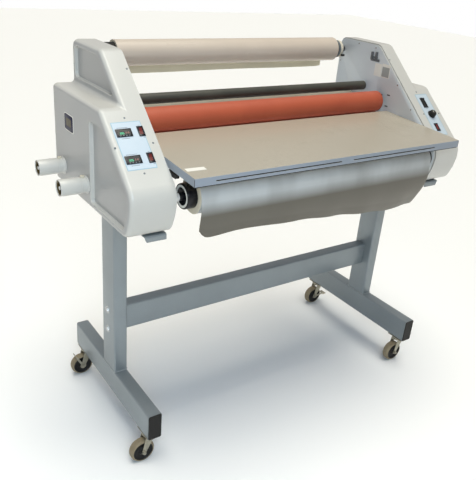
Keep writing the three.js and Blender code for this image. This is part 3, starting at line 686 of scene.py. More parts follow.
def stand():
    to_front = Matrix.Rotation(math.pi / 2, 4, "X")
    for side, sign in SIDES:
        x = sign * (STAND_HALF - TUBE_WIDE / 2)
        zc = FOOT_BOTTOM + TUBE_DEEP / 2
        foot = moved(tube_bm(TUBE_WIDE, TUBE_DEEP, 2 * FOOT_HALF), to_front,
                     shift(at(x, FOOT_HALF, zc)))
        publish(f"foot_tube_{side}", foot, "stand", "frame", [f"foot_{side}"])
        bottom = FOOT_BOTTOM + TUBE_DEEP + 0.3
        post = moved(tube_bm(TUBE_WIDE, TUBE_DEEP, SUPPORT_TOP - 4.3 - bottom),
                     shift(at(x, 0, bottom)))
        publish(f"post_tube_{side}", post, "stand", "frame", [f"post_{side}"])
        welds = ring_bead(outline_path(x, 0, bottom + 0.5, TUBE_WIDE + 0.5, TUBE_DEEP + 1), 2.0)
        merge(welds, ring_bead(
            outline_path(x, 0, SUPPORT_TOP - 6, TUBE_WIDE + 0.5, TUBE_DEEP + 1), 1.6))
        publish(f"post_welds_{side}", welds, "weld")
        for end, sy in (("front", -1), ("rear", 1)):
            cap(side, end, x, sy, zc)
        support(side, sign)
    half = STAND_HALF - TUBE_WIDE - 0.3
    y = STRETCHER_FRONT + TUBE_WIDE / 2
    rail = moved(tube_bm(TUBE_DEEP, TUBE_WIDE, 2 * half), TO_X,
                 shift(at(-half, y, STRETCHER_LOW + TUBE_DEEP / 2)))
    publish("stretcher_tube", rail, "stand", "frame", ["stretcher"])
    bolts = bmesh.new()
    bolt_y, bolt_rows = STRETCHER_BOLTS
    for z in bolt_rows:
        for _, sign in SIDES:
            merge(bolts, hex_bolt(at(sign * STAND_HALF, bolt_y, z), 10, (sign, 0, 0)))
    publish("stretcher_bolts", bolts, "bright_steel")


def cap(side, end, x, sy, zc):
    """A moulded plug with a rounded flange in the foot tube's end."""
    layers = ((-18, -6.6), (0.4, -6.6), (0.4, -2.4), (2.2, -2.2), (3.2, -3.4), (3.3, -6.5),
              (2.4, -8.0), (2.4, -11.0))
    rings = []
    for depth, grow in layers:
        shape = rounded_rectangle(TUBE_WIDE + grow, TUBE_DEEP + grow,
                                  max(1.0, TUBE_CORNER + grow / 2))
        y = sy * (FOOT_HALF + depth)
        rings.append([at(x + px, y, zc + pz) for px, pz in shape])
    stands_for = [f"end_cap_{side}_{end}"] if end == "front" else ()
    publish(f"cap_{side}_{end}", loft(rings, caps=True), "black", "frame", stands_for)


def support(side, sign):
    """The plate under a cabinet, with a narrower lip turned down at the front and the rear."""
    x0, x1 = sorted((sign * 573.0, sign * 668.0))
    slants = {sign * 589.0: 0, sign * 664.0: 9}  # how far each end of the lip leans inwards
    deep, lip, thick, r = 282.0, 20.0, 4.0, 6.0
    bm = block(x0, x1, -deep + 32, deep - 32, SUPPORT_TOP - thick, SUPPORT_TOP, 1.0)
    for sy in (-1, 1):
        path = [(deep - 40, SUPPORT_TOP - 0.3)]
        path += [(deep - r + r * math.sin(a), SUPPORT_TOP - 0.3 - r + r * math.cos(a))
                 for a in (math.radians(15 * i) for i in range(7))]
        path.append((deep, SUPPORT_TOP - lip))
        n = len(path)
        inner = []
        for i in range(n):
            (ya, za), (yb, zb) = path[max(i - 1, 0)], path[min(i + 1, n - 1)]
            t = Vector((yb - ya, zb - za)).normalized()
            inner.append((path[i][0] + t.y * thick, path[i][1] - t.x * thick))
        loop = path + inner[::-1]
        merge(bm, folded([[at(x - sign * slants[x] * (SUPPORT_TOP - z) / lip, sy * y, z)
                           for y, z in loop] for x in sorted(slants)]))
    publish(f"support_plate_{side}", bm, "stand", "frame", [f"cabinet_support_{side}"])
    x = sign * (STAND_HALF - TUBE_WIDE / 2)
    # Dark band round the post's top under the cabinet: a painted shadow of the cover.
    shadow_band = block(x - 26.6, x + 26.6, -52, 52, SUPPORT_TOP - 48, SUPPORT_TOP - 4.3, 1.0)
    publish(f"post_shadow_band_{side}", shadow_band, "dark")


stand()

# ---- casters --------------------------------------------------------------------------------
CASTERS = ("left_front", "right_front", "left_rear", "right_rear")


def caster_wheel(name):
    lo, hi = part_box(f"caster_wheel_{name}")
    centre = (lo + hi) / 2
    r = (hi.z - lo.z) / 2 / MM
    h = (hi.y - lo.y) / 2 / MM
    rim = r - 7.5
    tread = fillet([(-h, rim), (-h, r - 5), (-h + 6, r), (h - 6, r), (h, r - 5), (h, rim)], 5)
    web = [(1, 5.5), (1, 13), (2.5, 14), (6, 17), (7, 27), (4, rim - 5), (1.2, rim - 3),
           (1.2, rim + 0.4)]
    core = [(-h + a, b) for a, b in web] + [(h - a, b) for a, b in web[::-1]]
    bm = lathe_mm(looped(tread), 64)
    merge(bm, lathe_mm(looped(core), 64), 1)
    moved(bm, TO_Y, shift(centre))
    publish(f"wheel_{name}", bm, ["tread", "black"], f"wheel_{name}",
            [f"caster_wheel_{name}"])


def caster(name):
    caster_wheel(name)
    swivel = f"swivel_{name}"
    fork = cad_copy(f"caster_fork_{name}", 0.7)
    lo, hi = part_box(f"caster_wheel_{name}")
    axle = (lo + hi) / 2
    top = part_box(f"caster_fork_{name}")[1].z
    plate_lo, plate_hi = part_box(f"caster_plate_{name}")
    pin = (plate_lo + plate_hi) / 2
    race = fillet([(-11, 8), (-11, 23.5), (-5, 25.5), (-0.4, 25.5), (-0.4, 8)], 2)
    merge(fork, moved(lathe_mm(looped(race), 48), shift((pin.x, pin.y, top))))
    reach = (hi.y - lo.y) / 2 / MM + 8.2
    nut = fillet([(-3, 0), (-3, 6.8), (2.6, 6.8), (3.4, 5.6), (3.4, 0)], 0.5)
    tip = fillet([(0, 0), (0, 4), (6, 4), (7, 3), (7, 0)], 0.5)
    for sy in (-1, 1):
        turn = TO_Y if sy > 0 else TO_Y @ Matrix.Rotation(math.pi, 4, "X")
        for profile, segments in ((nut, 6), (tip, 20)):
            merge(fork, moved(lathe_mm(profile, segments), turn,
                              shift(axle + Vector((0, sy * reach * MM, 0)))))
    publish(f"fork_{name}", fork, "zinc", swivel, [f"caster_fork_{name}"])
    plate = cad_copy(f"caster_plate_{name}", 0.6)
    for dx in (-17, 17):
        for dy in (-32, 32):
            merge(plate, hex_bolt(
                Vector((pin.x + dx * MM, pin.y + dy * MM, plate_hi.z - 3.2 * MM)), 4.2,
                (0, 0, -1), washer=False))
    publish(f"plate_{name}", plate, "zinc", "frame", [f"caster_plate_{name}"])


for caster_name in CASTERS:
    caster(caster_name)
for lever in ("left_rear", "right_rear"):
    publish(f"lever_{lever}", cad_copy(f"brake_lever_{lever}", 0.5), "zinc", f"brake_{lever}",
            [f"brake_lever_{lever}"])

# ---- cabinets -------------------------------------------------------------------------------
PLATE_IN, PLATE_OUT = 573.0, 578.3
BETWEEN = 572.7  # just clear of the plates' inner faces
UPPER_X, LOWER_X = 650.0, 723.0
SHOULDER = 1207.0
SLOPE_TOP, SLOPE_LOW = Vector((72.0, 1350.0)), Vector((-292.0, 1030.0))
SLOPE = SLOPE_LOW - SLOPE_TOP
PITCH = math.atan2(-SLOPE.y, -SLOPE.x)
RIM, WALL = 15.0, 3.0
LOWER_POCKET, UPPER_POCKET = 13.5, 12.0


def curve2(a, b, c, n):
    return [bend(a, b, c, i / n) for i in range(1, n + 1)]


def curve3(a, b, c, d, n):
    out = []
    for i in range(1, n + 1):
        t = i / n
        out.append(a * (1 - t) ** 3 + b * 3 * t * (1 - t) ** 2 + c * 3 * t * t * (1 - t)
                   + d * t ** 3)
    return out


def side_outline():
    """The cabinet's side view from the shoulder height on the slope, down round the knee,
    along the bottom, up the back and over the top."""
    v = lambda y, z: Vector((y, z))
    drop = (SHOULDER - SLOPE_LOW.y) / (SLOPE_TOP.y - SLOPE_LOW.y)
    on_slope = SLOPE_LOW.lerp(SLOPE_TOP, drop)
    lower = [on_slope, v(-292, 1030)]
    lower += curve3(v(-292, 1030), v(-306, 1016), v(-313, 1000), v(-312, 978), 6)
    lower += curve3(v(-312, 978), v(-311, 948), v(-303, 922), v(-290, 892), 6)
    lower += curve2(v(-290, 892), v(-280, 868), v(-248, 868), 5)
    lower += [v(302, 868)]
    shoulder_rear = v(302, SHOULDER)
    upper = [shoulder_rear, v(302, 1318)]
    upper += curve2(v(302, 1318), v(302, 1350), v(270, 1350), 7)
    upper += [v(86, 1350)] + curve2(v(86, 1350), v(74, 1350), v(62, 1341), 5)
    return lower + [shoulder_rear], upper + [on_slope]


def two_step_shell():
    """The closed cover body on the right-hand side, before its pockets: bmesh in mm."""
    lower, upper = side_outline()
    bm = bmesh.new()

    def row(points, x):
        return [bm.verts.new((x, p.x, p.y)) for p in points]

    # shared rings: inner plane holds the whole outline, outer planes hold one part each
    low_in = row(lower, PLATE_OUT)
    up_mid = row(upper, UPPER_X)
    up_in = [low_in[-1]] + row(upper[1:-1], PLATE_OUT) + [low_in[0]]
    low_out = row(lower, LOWER_X)
    a_mid, b_mid = up_mid[-1], up_mid[0]
    n = len(lower)
    for i in range(n - 1):
        quad = [low_in[i], low_in[i + 1], low_out[i + 1], low_out[i]]
        if i == 0:
            quad = [low_in[0], low_in[1], low_out[1], low_out[0], a_mid]
        if i == n - 2:
            quad = [low_in[i], low_in[i + 1], b_mid, low_out[i + 1], low_out[i]]
        bm.faces.new(quad)
    for i in range(len(upper) - 1):
        bm.faces.new((up_in[i], up_in[i + 1], up_mid[i + 1], up_mid[i]))
    bm.faces.new(low_out)
    bm.faces.new(up_mid)
    bm.faces.new((a_mid, b_mid, low_out[-1], low_out[0]))
    bm.faces.new(low_in + up_in[1:-1])
    bmesh.ops.recalc_face_normals(bm, faces=bm.faces)
    bmesh.ops.dissolve_edges(
        bm, edges=[e for e in bm.edges if {v for v in e.verts} in (
            {low_in[0], a_mid}, {low_in[n - 1], b_mid})], use_verts=False)
    rim = [e for e in bm.edges
           if e.calc_face_angle(0) > math.radians(35)
           and not all(abs(v.co.x - PLATE_OUT) < 0.01 for v in e.verts)]
    round_edges(bm, rim, RIM, 6)
    return bm


def pocket(outline, x_face, depth):
    """A shallow pressed panel's cutter: a draughted, soft-edged plug; outline is (y, z)."""
    centre = sum((Vector(p) for p in outline), Vector((0, 0))) / len(outline)
    n = len(outline)

    def grown(amount):
        out = []
        for i in range(n):
            a, p, b = (Vector(outline[(i + k) % n]) for k in (-1, 0, 1))
            d0, d1 = (p - a).normalized(), (b - p).normalized()
            n0, n1 = Vector((d0.y, -d0.x)), Vector((d1.y, -d1.x))
            if n0.dot(p - centre) < 0:
                n0, n1 = -n0, -n1
            m = (n0 + n1).normalized()
            out.append(p + m * amount / max(0.4, m.dot(n0)))
        return out

    steps = ((6, 3.3), (0.05, 3.2), (-0.5, 1.9), (-1.7, 1.0), (-depth + 3.0, 0.2),
             (-depth + 1.3, -0.4), (-depth + 0.35, -1.6), (-depth, -3.4))
    return loft([[(x_face + dx, p.x, p.y) for p in grown(g)] for dx, g in steps], caps=True)


def softened(points, r, n=4):
    """Rounds a closed outline's corners."""
    out = []
    count = len(points)
    for i in range(count):
        a, p, b = (Vector(points[(i + k) % count]) for k in (-1, 0, 1))
        ra = min(r, (a - p).length * 0.45)
        rb = min(r, (b - p).length * 0.45)
        start, end = p + (a - p).normalized() * ra, p + (b - p).normalized() * rb
        out += [bend(start, p, end, k / n) for k in range(n + 1)]
    return out


def slope_y(z, inset):
    return SLOPE_LOW.x + (z - SLOPE_LOW.y) / (SLOPE_TOP.y - SLOPE_LOW.y) * -SLOPE.x + inset


def panel(x, s, out=0.0):
    """A point on the sloping panel: across, down the slope, and out from it, in mm."""
    d = SLOPE.normalized()
    p = SLOPE_TOP + d * s
    return at(x, p.x - math.sin(PITCH) * out, p.y + math.cos(PITCH) * out)


def on_panel(bm, x, s, out=0.0):
    """Moves a small piece drawn in mm (x across, y up the slope, z out) onto the panel."""
    return moved(bm, Matrix.Scale(MM, 4), Matrix.Rotation(PITCH, 4, "X"),
                 shift(panel(x, s, out)))


def panel_block(wide, long, high, bevel=0.0, segments=2, z0=0.0):
    return cuboid((wide, long, high), (0, 0, z0 + high / 2), bevel, segments)


ROCKERS = (
    ("left_upper", -616.5, 302, 16, 30, "red"),
    ("left_lower", -617.5, 393, 16, 30, "red"),
    ("right_upper", 646, 294, 20, 42, "black"),
    ("right_lower", 647, 411, 16, 32, "red"),
)
GUARD_Y, GUARD_Z, GUARD_HOLE = (215, 10), 942, 14
CONTROLLERS = (("upper", -671, 303), ("lower", -673, 394))
KNOB = (653, 351)


def cover(side, sign):
    body = loose(two_step_shell())
    lower_pocket = [(-20, 891), (-20, 1154), (slope_y(1154, 34), 1154), (slope_y(1040, 34), 1040),
                    (-282, 1004), (-284, 966), (-266, 902), (-254, 891)]
    upper_pocket = [(278, 1228), (278, 1328), (slope_y(1328, 38), 1328), (slope_y(1228, 36), 1228)]
    cut(body, pocket(softened(lower_pocket, 12), LOWER_X, LOWER_POCKET))
    cut(body, pocket(softened(upper_pocket, 20), UPPER_X, UPPER_POCKET))
    bm = reopen(body)
    bmesh.ops.delete(bm, geom=[
        f for f in bm.faces if all(abs(v.co.x - PLATE_OUT) < 0.01 for v in f.verts)
    ], context="FACES")
    moved(bm, Matrix.Diagonal((sign * MM, MM, MM, 1)), shift((OX, OY, 0)))
    if sign < 0:
        bmesh.ops.reverse_faces(bm, faces=bm.faces)
    shell = loose(bm)
    mod = shell.modifiers.new("wall", "SOLIDIFY")
    mod.thickness = WALL * MM
    mod.offset = -1
    mod.use_even_offset = False
    fix(shell)
    for _, x, s, wide, long, _ in ROCKERS:
        if x * sign > 0:
            cut(shell, on_panel(panel_block(wide + 2, long + 3, 40, z0=-20), x, s))
    if sign < 0:
        for _, x, s in CONTROLLERS:
            cut(shell, on_panel(panel_block(45, 22.5, 40, z0=-20), x, s))
        hole = [(-740, 0), (-740, GUARD_HOLE), (-690, GUARD_HOLE), (-690, 0)]
        for y in GUARD_Y:
            cut(shell, turned(hole, y, GUARD_Z, 32))
    else:
        cut(shell, on_panel(panel_block(8, 8, 40, z0=-20), *KNOB))
        cut(shell, block(635, 675, 280, 320, 920, 940))
    publish(f"shell_{side}", reopen(shell), "shell", "frame", [f"cover_{side}"],
            smooth=50, weighted=True)


for cabinet_side, cabinet_sign in SIDES:
    cover(cabinet_side, cabinet_sign)


# ---- what stays from the CAD, with better finishes ------------------------------------------
def finish_cad(node, key):
    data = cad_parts[node].data
    data.materials.clear()
    data.materials.append(MAT[key])


for cad_node, cad_key in (
    ("bearing_block_left", "cast"), ("bearing_block_right", "cast"), ("drive_motor", "cast"),
    ("drive_gear", "steel"), ("drive_pinion", "steel"),
):
    finish_cad(cad_node, cad_key)


def to_outline(place):
    """How far a point is from the cabinet's side outline, and the way inwards from there."""
    lower, upper = side_outline()
    loop = lower[1:] + upper[1:]
    p = Vector(((place.y - OY) / MM, place.z / MM))
    middle = Vector((0, 1080))
    best, inward = 1e9, None
    for a, b in zip(loop, loop[1:] + loop[:1]):
        span = b - a
        t = max(0.0, min(1.0, (p - a).dot(span) / max(span.length_squared, 1e-9)))
        gap = (p - a.lerp(b, t)).length
        if gap < best:
            side = Vector((-span.y, span.x)).normalized()
            best, inward = gap, side if side.dot(middle - a) > 0 else -side
    return best, inward


def on_outline(face):
    return to_outline(face.calc_center_median())[0] < 6.0


def drawn_in(bm, amount):
    """Moves a side plate's outer edge inwards, so that the cover's rim stands proud of it."""
    for v in bm.verts:
        gap, inward = to_outline(v.co)
        if gap < 2.0:
            move = inward * (amount - gap) * MM
            v.co.y += move.x
            v.co.z += move.y


def side_plate(side, sign):
    bm = cad_copy(f"side_plate_{side}", 0.6)
    drawn_in(bm, 3.5)
    for f in bm.faces:
        if abs(f.normal.x) < 0.6 and on_outline(f):
            f.material_index = 1
    publish(f"plate_sheet_{side}", bm, ["plate", "shell"], "frame", [f"side_plate_{side}"])
    face = sign * PLATE_IN
    screws = bmesh.new()
    spots = [(90, 1334), (190, 1336), (288, 1250), (288, 1120), (288, 990), (-60, 1212),
             (-150, 1133), (-240, 1054), (-286, 960), (-200, 890), (60, 885)]
    for y, z in spots:
        merge(screws, bead(at(face, y, z), 3.4, (-sign, 0, 0)))
    publish(f"plate_screws_{side}", screws, "steel")
    slots = bmesh.new()
    for y, z in ((-22, 1163), (-19, 1117)):
        merge(slots, block(face - sign * 0.4, face + sign, y - 8, y + 8, z - 2.2, z + 2.2, 0.2))
    publish(f"plate_slots_{side}", slots, "dark")


for plate_side, plate_sign in SIDES:
    side_plate(plate_side, plate_sign)

# ---- rollers --------------------------------------------------------------------------------
REACH = 578.0


def axis_of(node):
    lo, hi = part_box(node)
    return ((lo.y + hi.y) / 2 - OY) / MM, (lo.z + hi.z) / 2 / MM


def roller(name, node, key, half, r, shaft_r, shaft_half, body, slot):
    y, z = axis_of(node)
    shaft = fillet([(-shaft_half, 0), (-shaft_half, shaft_r), (shaft_half, shaft_r),
                    (shaft_half, 0)], 1.2, 2)
    sleeve = fillet([(-half, shaft_r - 1), (-half, r), (half, r), (half, shaft_r - 1)], 1.5, 4)
    bm = turned(looped(sleeve), y, z, 96)
    merge(bm, turned(shaft, y, z, 48), 1)
    for s in (-1, 1):
        ring = [(s * (half - 2), shaft_r - 1), (s * (half - 2), r - 7), (s * (half + 0.9), r - 7.5),
                (s * (half + 0.9), shaft_r - 1), (s * (half - 2), shaft_r - 1)]
        merge(bm, turned(ring, y, z, 64), 1)
    publish(name, bm, [key, "steel"], body, [node])


def rollers():
    main = dict(half=556, r=41, shaft_r=14)
    roller("nip_roller_upper", "upper_main_roller", "silicone", shaft_half=REACH + 28,
           body="upper_main", slot="silicone", **main)
    roller("nip_roller_lower", "lower_main_roller", "silicone", shaft_half=REACH + 22,
           body="lower_main", slot="silicone", **main)
    pull = dict(half=560, r=25, shaft_r=9, shaft_half=REACH + 12, slot="grey_rubber")
    roller("pull_roller_upper", "upper_pull_roller", "grey_roll", body="upper_pull", **pull)
    roller("pull_roller_lower", "lower_pull_roller", "grey_roll", body="lower_pull", **pull)
    roller("idler_roller", "upper_idler", "black_roll", 560, 18.3, 6, BETWEEN, "idler",
           "black_rubber")


rollers()


def rod_piece(name, node, half, key, body):
    y, z = axis_of(node)
    bm = turned(fillet([(-half, 0), (-half, 12), (half, 12), (half, 0)], 1.0, 2), y, z, 40)
    # On the black lower shaft, a bright steel ring by each plate: a painted highlight.
    for sign in (-1, 1) if key == "gloss_black" else ():
        sleeve = fillet([(556, 11.9), (556, 13.2), (572.6, 13.2), (572.6, 11.9)], 0.4, 2)
        ring = [(sign * x, r) for x, r in looped(sleeve)]
        merge(bm, turned(ring, y, z, 40), 1)
    publish(name, bm, [key, "bright_steel"], body, [node])


rod_piece("tie_rod", "tie_bar_rear", BETWEEN, "steel", "frame")
rod_piece("supply_shaft_upper", "upper_mandrel", 586, "dark_steel", "upper_supply")
rod_piece("supply_shaft_lower", "lower_mandrel", 586, "gloss_black", "lower_supply")

# ---- film -----------------------------------------------------------------------------------
FILM_HALF = 510.0
CORE_R = 38.0


def film_roll(name, node, r, key, body, end=FILM_HALF, flare=0.0):
    """Wound film: a smooth drum whose ends show the layers and the card core."""
    y, z = axis_of(node)
    face = []
    steps = 9
    for i in range(steps + 1):
        rr = CORE_R + 4 + (r - CORE_R - 4) * i / steps
        face.append((0.5 * math.sin(i * 2.4) + 0.4, rr))
    left = [(-FILM_HALF + dx, rr) for dx, rr in face]
    right = [(end - dx, rr * (1 + flare / r)) for dx, rr in face][::-1]
    drum = [(-FILM_HALF + 1, CORE_R + 3.5), *left, (-FILM_HALF + 1.2, r),
            (end - 1.2, r + flare), *right, (end - 1, CORE_R + 3.5),
            (-FILM_HALF + 1, CORE_R + 3.5)]
    bm = turned(drum, y, z, 96)
    ends = [f for f in bm.faces if abs(f.normal.x) > 0.7]
    core = [(-FILM_HALF, CORE_R), (-FILM_HALF, CORE_R + 4), (end, CORE_R + 4),
            (end, CORE_R), (-FILM_HALF, CORE_R)]
    for f in ends:
        f.material_index = 1
    merge(bm, turned(core, y, z, 72), 1)
    publish(name, bm, [key, "core"], body, [node])


film_roll("film_wound_upper", "upper_film_roll", 45, "film_up", "upper_supply", 504, 2.0)
film_roll("film_wound_lower", "lower_film_roll", 59, "film_low", "lower_supply")


def chuck(name, node, sign, r, keys, body):
    """A core chuck seen as a short drum with a pale ring let into its dished end."""
    y, z = axis_of(node) if node else axis_of("lower_mandrel")
    a, b = FILM_HALF + 0.3, FILM_HALF + 34
    drum = fillet([(a, 13), (a, r), (b - 2, r), (b, r - 2), (b, r - 4.3), (b - 1, r - 4.8),
                   (b - 1, r - 12.5), (b - 2, r - 13), (b - 14, 20), (b - 14, 13)], 1.2, 2)
    ring = [(b - 2, r - 12.5), (b - 0.4, r - 12), (b - 0.2, r - 5.0), (b - 2, r - 4.8)]
    plug = fillet([(480, 13), (480, CORE_R - 0.6), (a + 3, CORE_R - 0.6), (a + 3, 13)], 1, 2)

    def side(points):
        return [(sign * x, rr) for x, rr in looped(points)]

    bm = turned(side(drum), y, z, 72)
    merge(bm, turned(side(ring), y, z, 72), 1)
    merge(bm, turned(side(plug), y, z, 48), 0)
    for k in range(3):
        angle = math.tau * k / 3 + 0.5
        spot = at(sign * (b - 13.6), y + 24 * math.cos(angle), z + 24 * math.sin(angle))
        merge(bm, bead(spot, 2.6, (sign, 0, 0)), 2)
    publish(name, bm, [keys[0], keys[1], "steel"], body, [node] if node else ())


chuck("chuck_lower_left", "lower_chuck_left", -1, 40, ("gloss_black", "white"),
      "lower_supply")
chuck("chuck_lower_right", None, 1, 40, ("gloss_black", "white"), "lower_supply")
chuck("chuck_upper_left", "upper_chuck_left", -1, 36.5, ("black", "black"), "upper_supply")


def upper_right_chuck():
    y, z = axis_of("upper_chuck_right")
    gap = [(504.3, 13), (504.3, 38.6), (515, 38.6), (515, 13), (504.3, 13)]
    hub = fillet([(515, 13), (515, 36.8), (528, 36.8), (528, 13)], 1, 3)
    collar = fillet([(528, 13), (528, 35), (543, 35), (546, 32), (546, 13)], 1.5, 3)
    plug = [(480, 13), (480, 37.4), (506, 37.4), (506, 13), (480, 13)]
    bm = turned(gap, y, z, 72)
    merge(bm, turned(looped(hub), y, z, 72), 1)
    merge(bm, turned(looped(collar), y, z, 72), 2)
    merge(bm, turned(plug, y, z, 48), 0)
    merge(bm, block(536, 552, y - 38, y - 29, z - 26, z - 18, 1.0), 0)
    publish("chuck_upper_right", bm, ["black", "hub", "ivory"], "upper_supply",
            ["upper_chuck_right"])


upper_right_chuck()


def sheet_mesh(point, nu, nv, thick=0.5):
    """A thin closed sheet through point(u, v), u and v from 0 to 1, in stand mm."""
    grid = [[Vector(point(i / nu, j / nv)) for j in range(nv + 1)] for i in range(nu + 1)]

    def lift(i, j):
        du = grid[min(i + 1, nu)][j] - grid[max(i - 1, 0)][j]
        dv = grid[i][min(j + 1, nv)] - grid[i][max(j - 1, 0)]
        return du.cross(dv).normalized() * thick / 2

    loops = []
    for i, row in enumerate(grid):
        out = [at(*(p + lift(i, j))) for j, p in enumerate(row)]
        back = [at(*(p - lift(i, j))) for j, p in enumerate(row)]
        loops.append(out + back[::-1])
    return folded(loops)


def interpolate(table, x):
    if x <= table[0][0]:
        return table[0][1]
    for (x0, v0), (x1, v1) in zip(table, table[1:]):
        if x <= x1:
            t = (x - x0) / (x1 - x0)
            t = t * t * (3 - 2 * t)
            return v0 + (v1 - v0) * t
    return table[-1][1]


def lower_tail():
    """Film off the lower roll: down its front, hanging free, longest and curled at the right."""
    y0, z0 = axis_of("lower_film_roll")
    r = 59.9
    wrap = math.radians(38)
    low = [(-510, 862), (-470, 855), (-363, 860), (-115, 847), (60, 829), (226, 810),
           (360, 797), (452, 803), (510, 800)]
    sweep = [(-510, 4), (-200, 8), (150, 22), (400, 34), (510, 44)]

    def point(u, v):
        x = FILM_HALF * (2 * u - 1)
        near_left = max(0.0, 1 - (x + FILM_HALF) / 30)
        near_right = max(0.0, (x - 488) / 22)
        free = z0 - interpolate(low, x) - 20 * near_left ** 2.5 - 14 * near_right ** 2.5
        s = v * (wrap * r + free)
        if s < wrap * r:
            a = wrap - s / r
            return x, y0 - r * math.cos(a), z0 + r * math.sin(a)
        t = (s - wrap * r) / free
        belly = 5.0 * math.sin(math.pi * min(1, t * 1.25)) * (0.6 + 0.4 * u)
        wave = 1.6 * math.sin(7.5 * u + 2.2 * t) * t
        y = y0 - r - belly + interpolate(sweep, x) * t ** 2.6 + wave
        return x, y, z0 - free * t

    tail = publish("film_sheet_lower", sheet_mesh(point, 96, 44), "tail_low", "frame",
                   ["lower_film_tail"], smooth=60)


def upper_tail():
    """Film off the back of the upper roll, over its slight taper, hanging nearly straight."""
    y0, z0 = axis_of("upper_film_roll")
    wrap, hang = math.radians(50), 80.5

    def point(u, v):
        x = -505 + 997 * u
        r = 45.9 + 2.0 * (x + FILM_HALF) / 1014
        run = wrap * r + hang + 1.2 * math.sin(9 * u) - 2.5 * max(0.0, (x - 470) / 22)
        s = v * run
        if s < wrap * r:
            a = wrap - s / r
            return x, y0 + r * math.cos(a), z0 + r * math.sin(a)
        s -= wrap * r
        t = s / hang
        return x, y0 + r + 1.8 * math.sin(3 * t + 4 * u) * t, z0 - s

    tail = publish("film_sheet_upper", sheet_mesh(point, 72, 26), "tail_up", "frame",
                   ["upper_film_tail"], smooth=60)


lower_tail()
upper_tail()


# ---- feed shelf -----------------------------------------------------------------------------
def shelf():
    bm = cad_copy("feed_shelf", 1.4, 3)
    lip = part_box("feed_shelf")[0].y
    y_lip = (lip - OY) / MM
    # Front and end faces: painted cool reflection; the top: painted warm light.
    for f in bm.faces:
        c = f.calc_center_median()
        on_edge = c.y < lip + 2 * MM or abs(c.x - OX) > 571.5 * MM
        f.material_index = 1 if on_edge and f.normal.z < 0.6 else 0
    publish("shelf_tray", bm, ["shelf", "shelf_lip_shaded"], "frame", ["feed_shelf"],
            weighted=True)
    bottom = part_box("feed_shelf")[0].z / MM
    # A dark strip under the lip's bottom edge: painted shadow between the lip and the film roll.
    lip_shadow = block(-571, 571, y_lip + 2, y_lip + 8, bottom - 3.5, bottom + 0.3, 0.8)
    publish("shelf_lip_shadow", lip_shadow, "dark")
    # Dark blocks just behind the lip's slots: painted shade seen through them.
    slot_shade = bmesh.new()
    for a, b in ((-502, -18), (33, 440)):
        merge(slot_shade, block(a - 1, b + 1, y_lip + 2.4, y_lip + 5, 1060, 1068))
    publish("shelf_slot_shade", slot_shade, "dark")
    seams = bmesh.new()
    for sx in (-1, 1):
        merge(seams, block(sx * BETWEEN - 0.5, sx * BETWEEN + 0.5, y_lip - 0.35, y_lip + 0.6,
                           1054, 1075))
    publish("shelf_corner_seams", seams, "dark")


shelf()


TRAY_FRONT, TRAY_LOW = -401, 1078
TRAY_RUN, TRAY_RISE = 371, 22


def tray_point(x, y, lift=0.0):
    return at(x, y, TRAY_LOW + (y - TRAY_FRONT) * TRAY_RISE / TRAY_RUN + lift)


def tray_sticker():
    bm = bmesh.new()
    n = 6
    tilt = math.atan2(TRAY_RISE, TRAY_RUN)
    bmesh.ops.create_grid(bm, x_segments=n, y_segments=n, size=0.5)
    moved(bm, Matrix.Diagonal((62 * MM, 21 * MM, 1, 1)), Matrix.Rotation(tilt, 4, "X"))
    extruded = bmesh.ops.extrude_face_region(bm, geom=bm.faces[:])
    top = [v for v in extruded["geom"] if isinstance(v, bmesh.types.BMVert)]
    bmesh.ops.translate(bm, verts=top, vec=(0, 0, 0.35 * MM))
    moved(bm, Matrix.Rotation(math.radians(-4), 4, "Z"),
          shift(tray_point(-533, -338, 0.1)))
    publish("tray_sticker", bm, "white")


tray_sticker()
for bracket_side, bracket_sign, bracket_low in (("left", -1, 1041), ("right", 1, 1036)):
    publish(f"shelf_bracket_{bracket_side}",
            block(bracket_sign * 558, bracket_sign * PLATE_IN, -292, -236, bracket_low, 1054, 1.5),
            "dark")

# ---- guard tubes and take-up shafts ---------------------------------------------------------
GUARD_END = 816.0


def guard(where):
    y, z = axis_of(f"take_up_mandrel_{where}")
    face = LOWER_X + 0.2
    outer = fillet([(face, 22), (face, 29.5), (face + 5, 29.5), (face + 6.5, 26.2),
                    (face + 24, 26.2), (face + 25, 27.2), (GUARD_END - 1.5, 27.2),
                    (GUARD_END, 26), (GUARD_END, 24.4), (GUARD_END - 3, 24)], 1.5, 3)
    bore = [(GUARD_END - 3, 24), (face, 24), (face, 22)]
    body = turned([(-x, r) for x, r in outer + bore[1:]], y, z, 72)
    lining = [(GUARD_END - 3, 24.05), (GUARD_END - 3.2, 19.5), (face + 12, 19.0),
              (face + 12, 24.05), (GUARD_END - 3, 24.05)]
    merge(body, turned([(-x, r) for x, r in lining], y, z, 64), 1)
    screw = fillet([(-6, 0), (-6, 7.5), (3.5, 7.5), (4.5, 6.5), (4.5, 0)], 0.8, 2)
    merge(body, moved(lathe_mm(screw, 28), shift(at(-face - 15, y, z + 27))), 2)
    publish(f"guard_{where}", body, ["shell", "brass", "ivory"], "frame",
            [f"guard_tube_{where}"])
    x0 = -GUARD_END + 3
    shaft = fillet([(x0, 0), (x0, 6), (x0 + 16, 6), (x0 + 16, 10), (586, 10), (586, 0)], 1, 2)
    publish(f"take_up_shaft_{where}", turned(shaft, y, z, 40), "bright_steel", f"take_up_{where}",
            [f"take_up_mandrel_{where}"])


guard("rear")
guard("front")


# ---- controls -------------------------------------------------------------------------------
def label(name, x0, x1, s0, s1):
    bm = panel_block(x1 - x0, s1 - s0, 0.3, 0.1, 1)
    merge(bm, panel_block(x1 - x0 - 5, s1 - s0 - 5, 0.25, 0.1, 1, z0=0.25), 1)
    on_panel(bm, (x0 + x1) / 2, (s0 + s1) / 2, 0.05)
    publish(name, bm, ["label_edge", "label"])


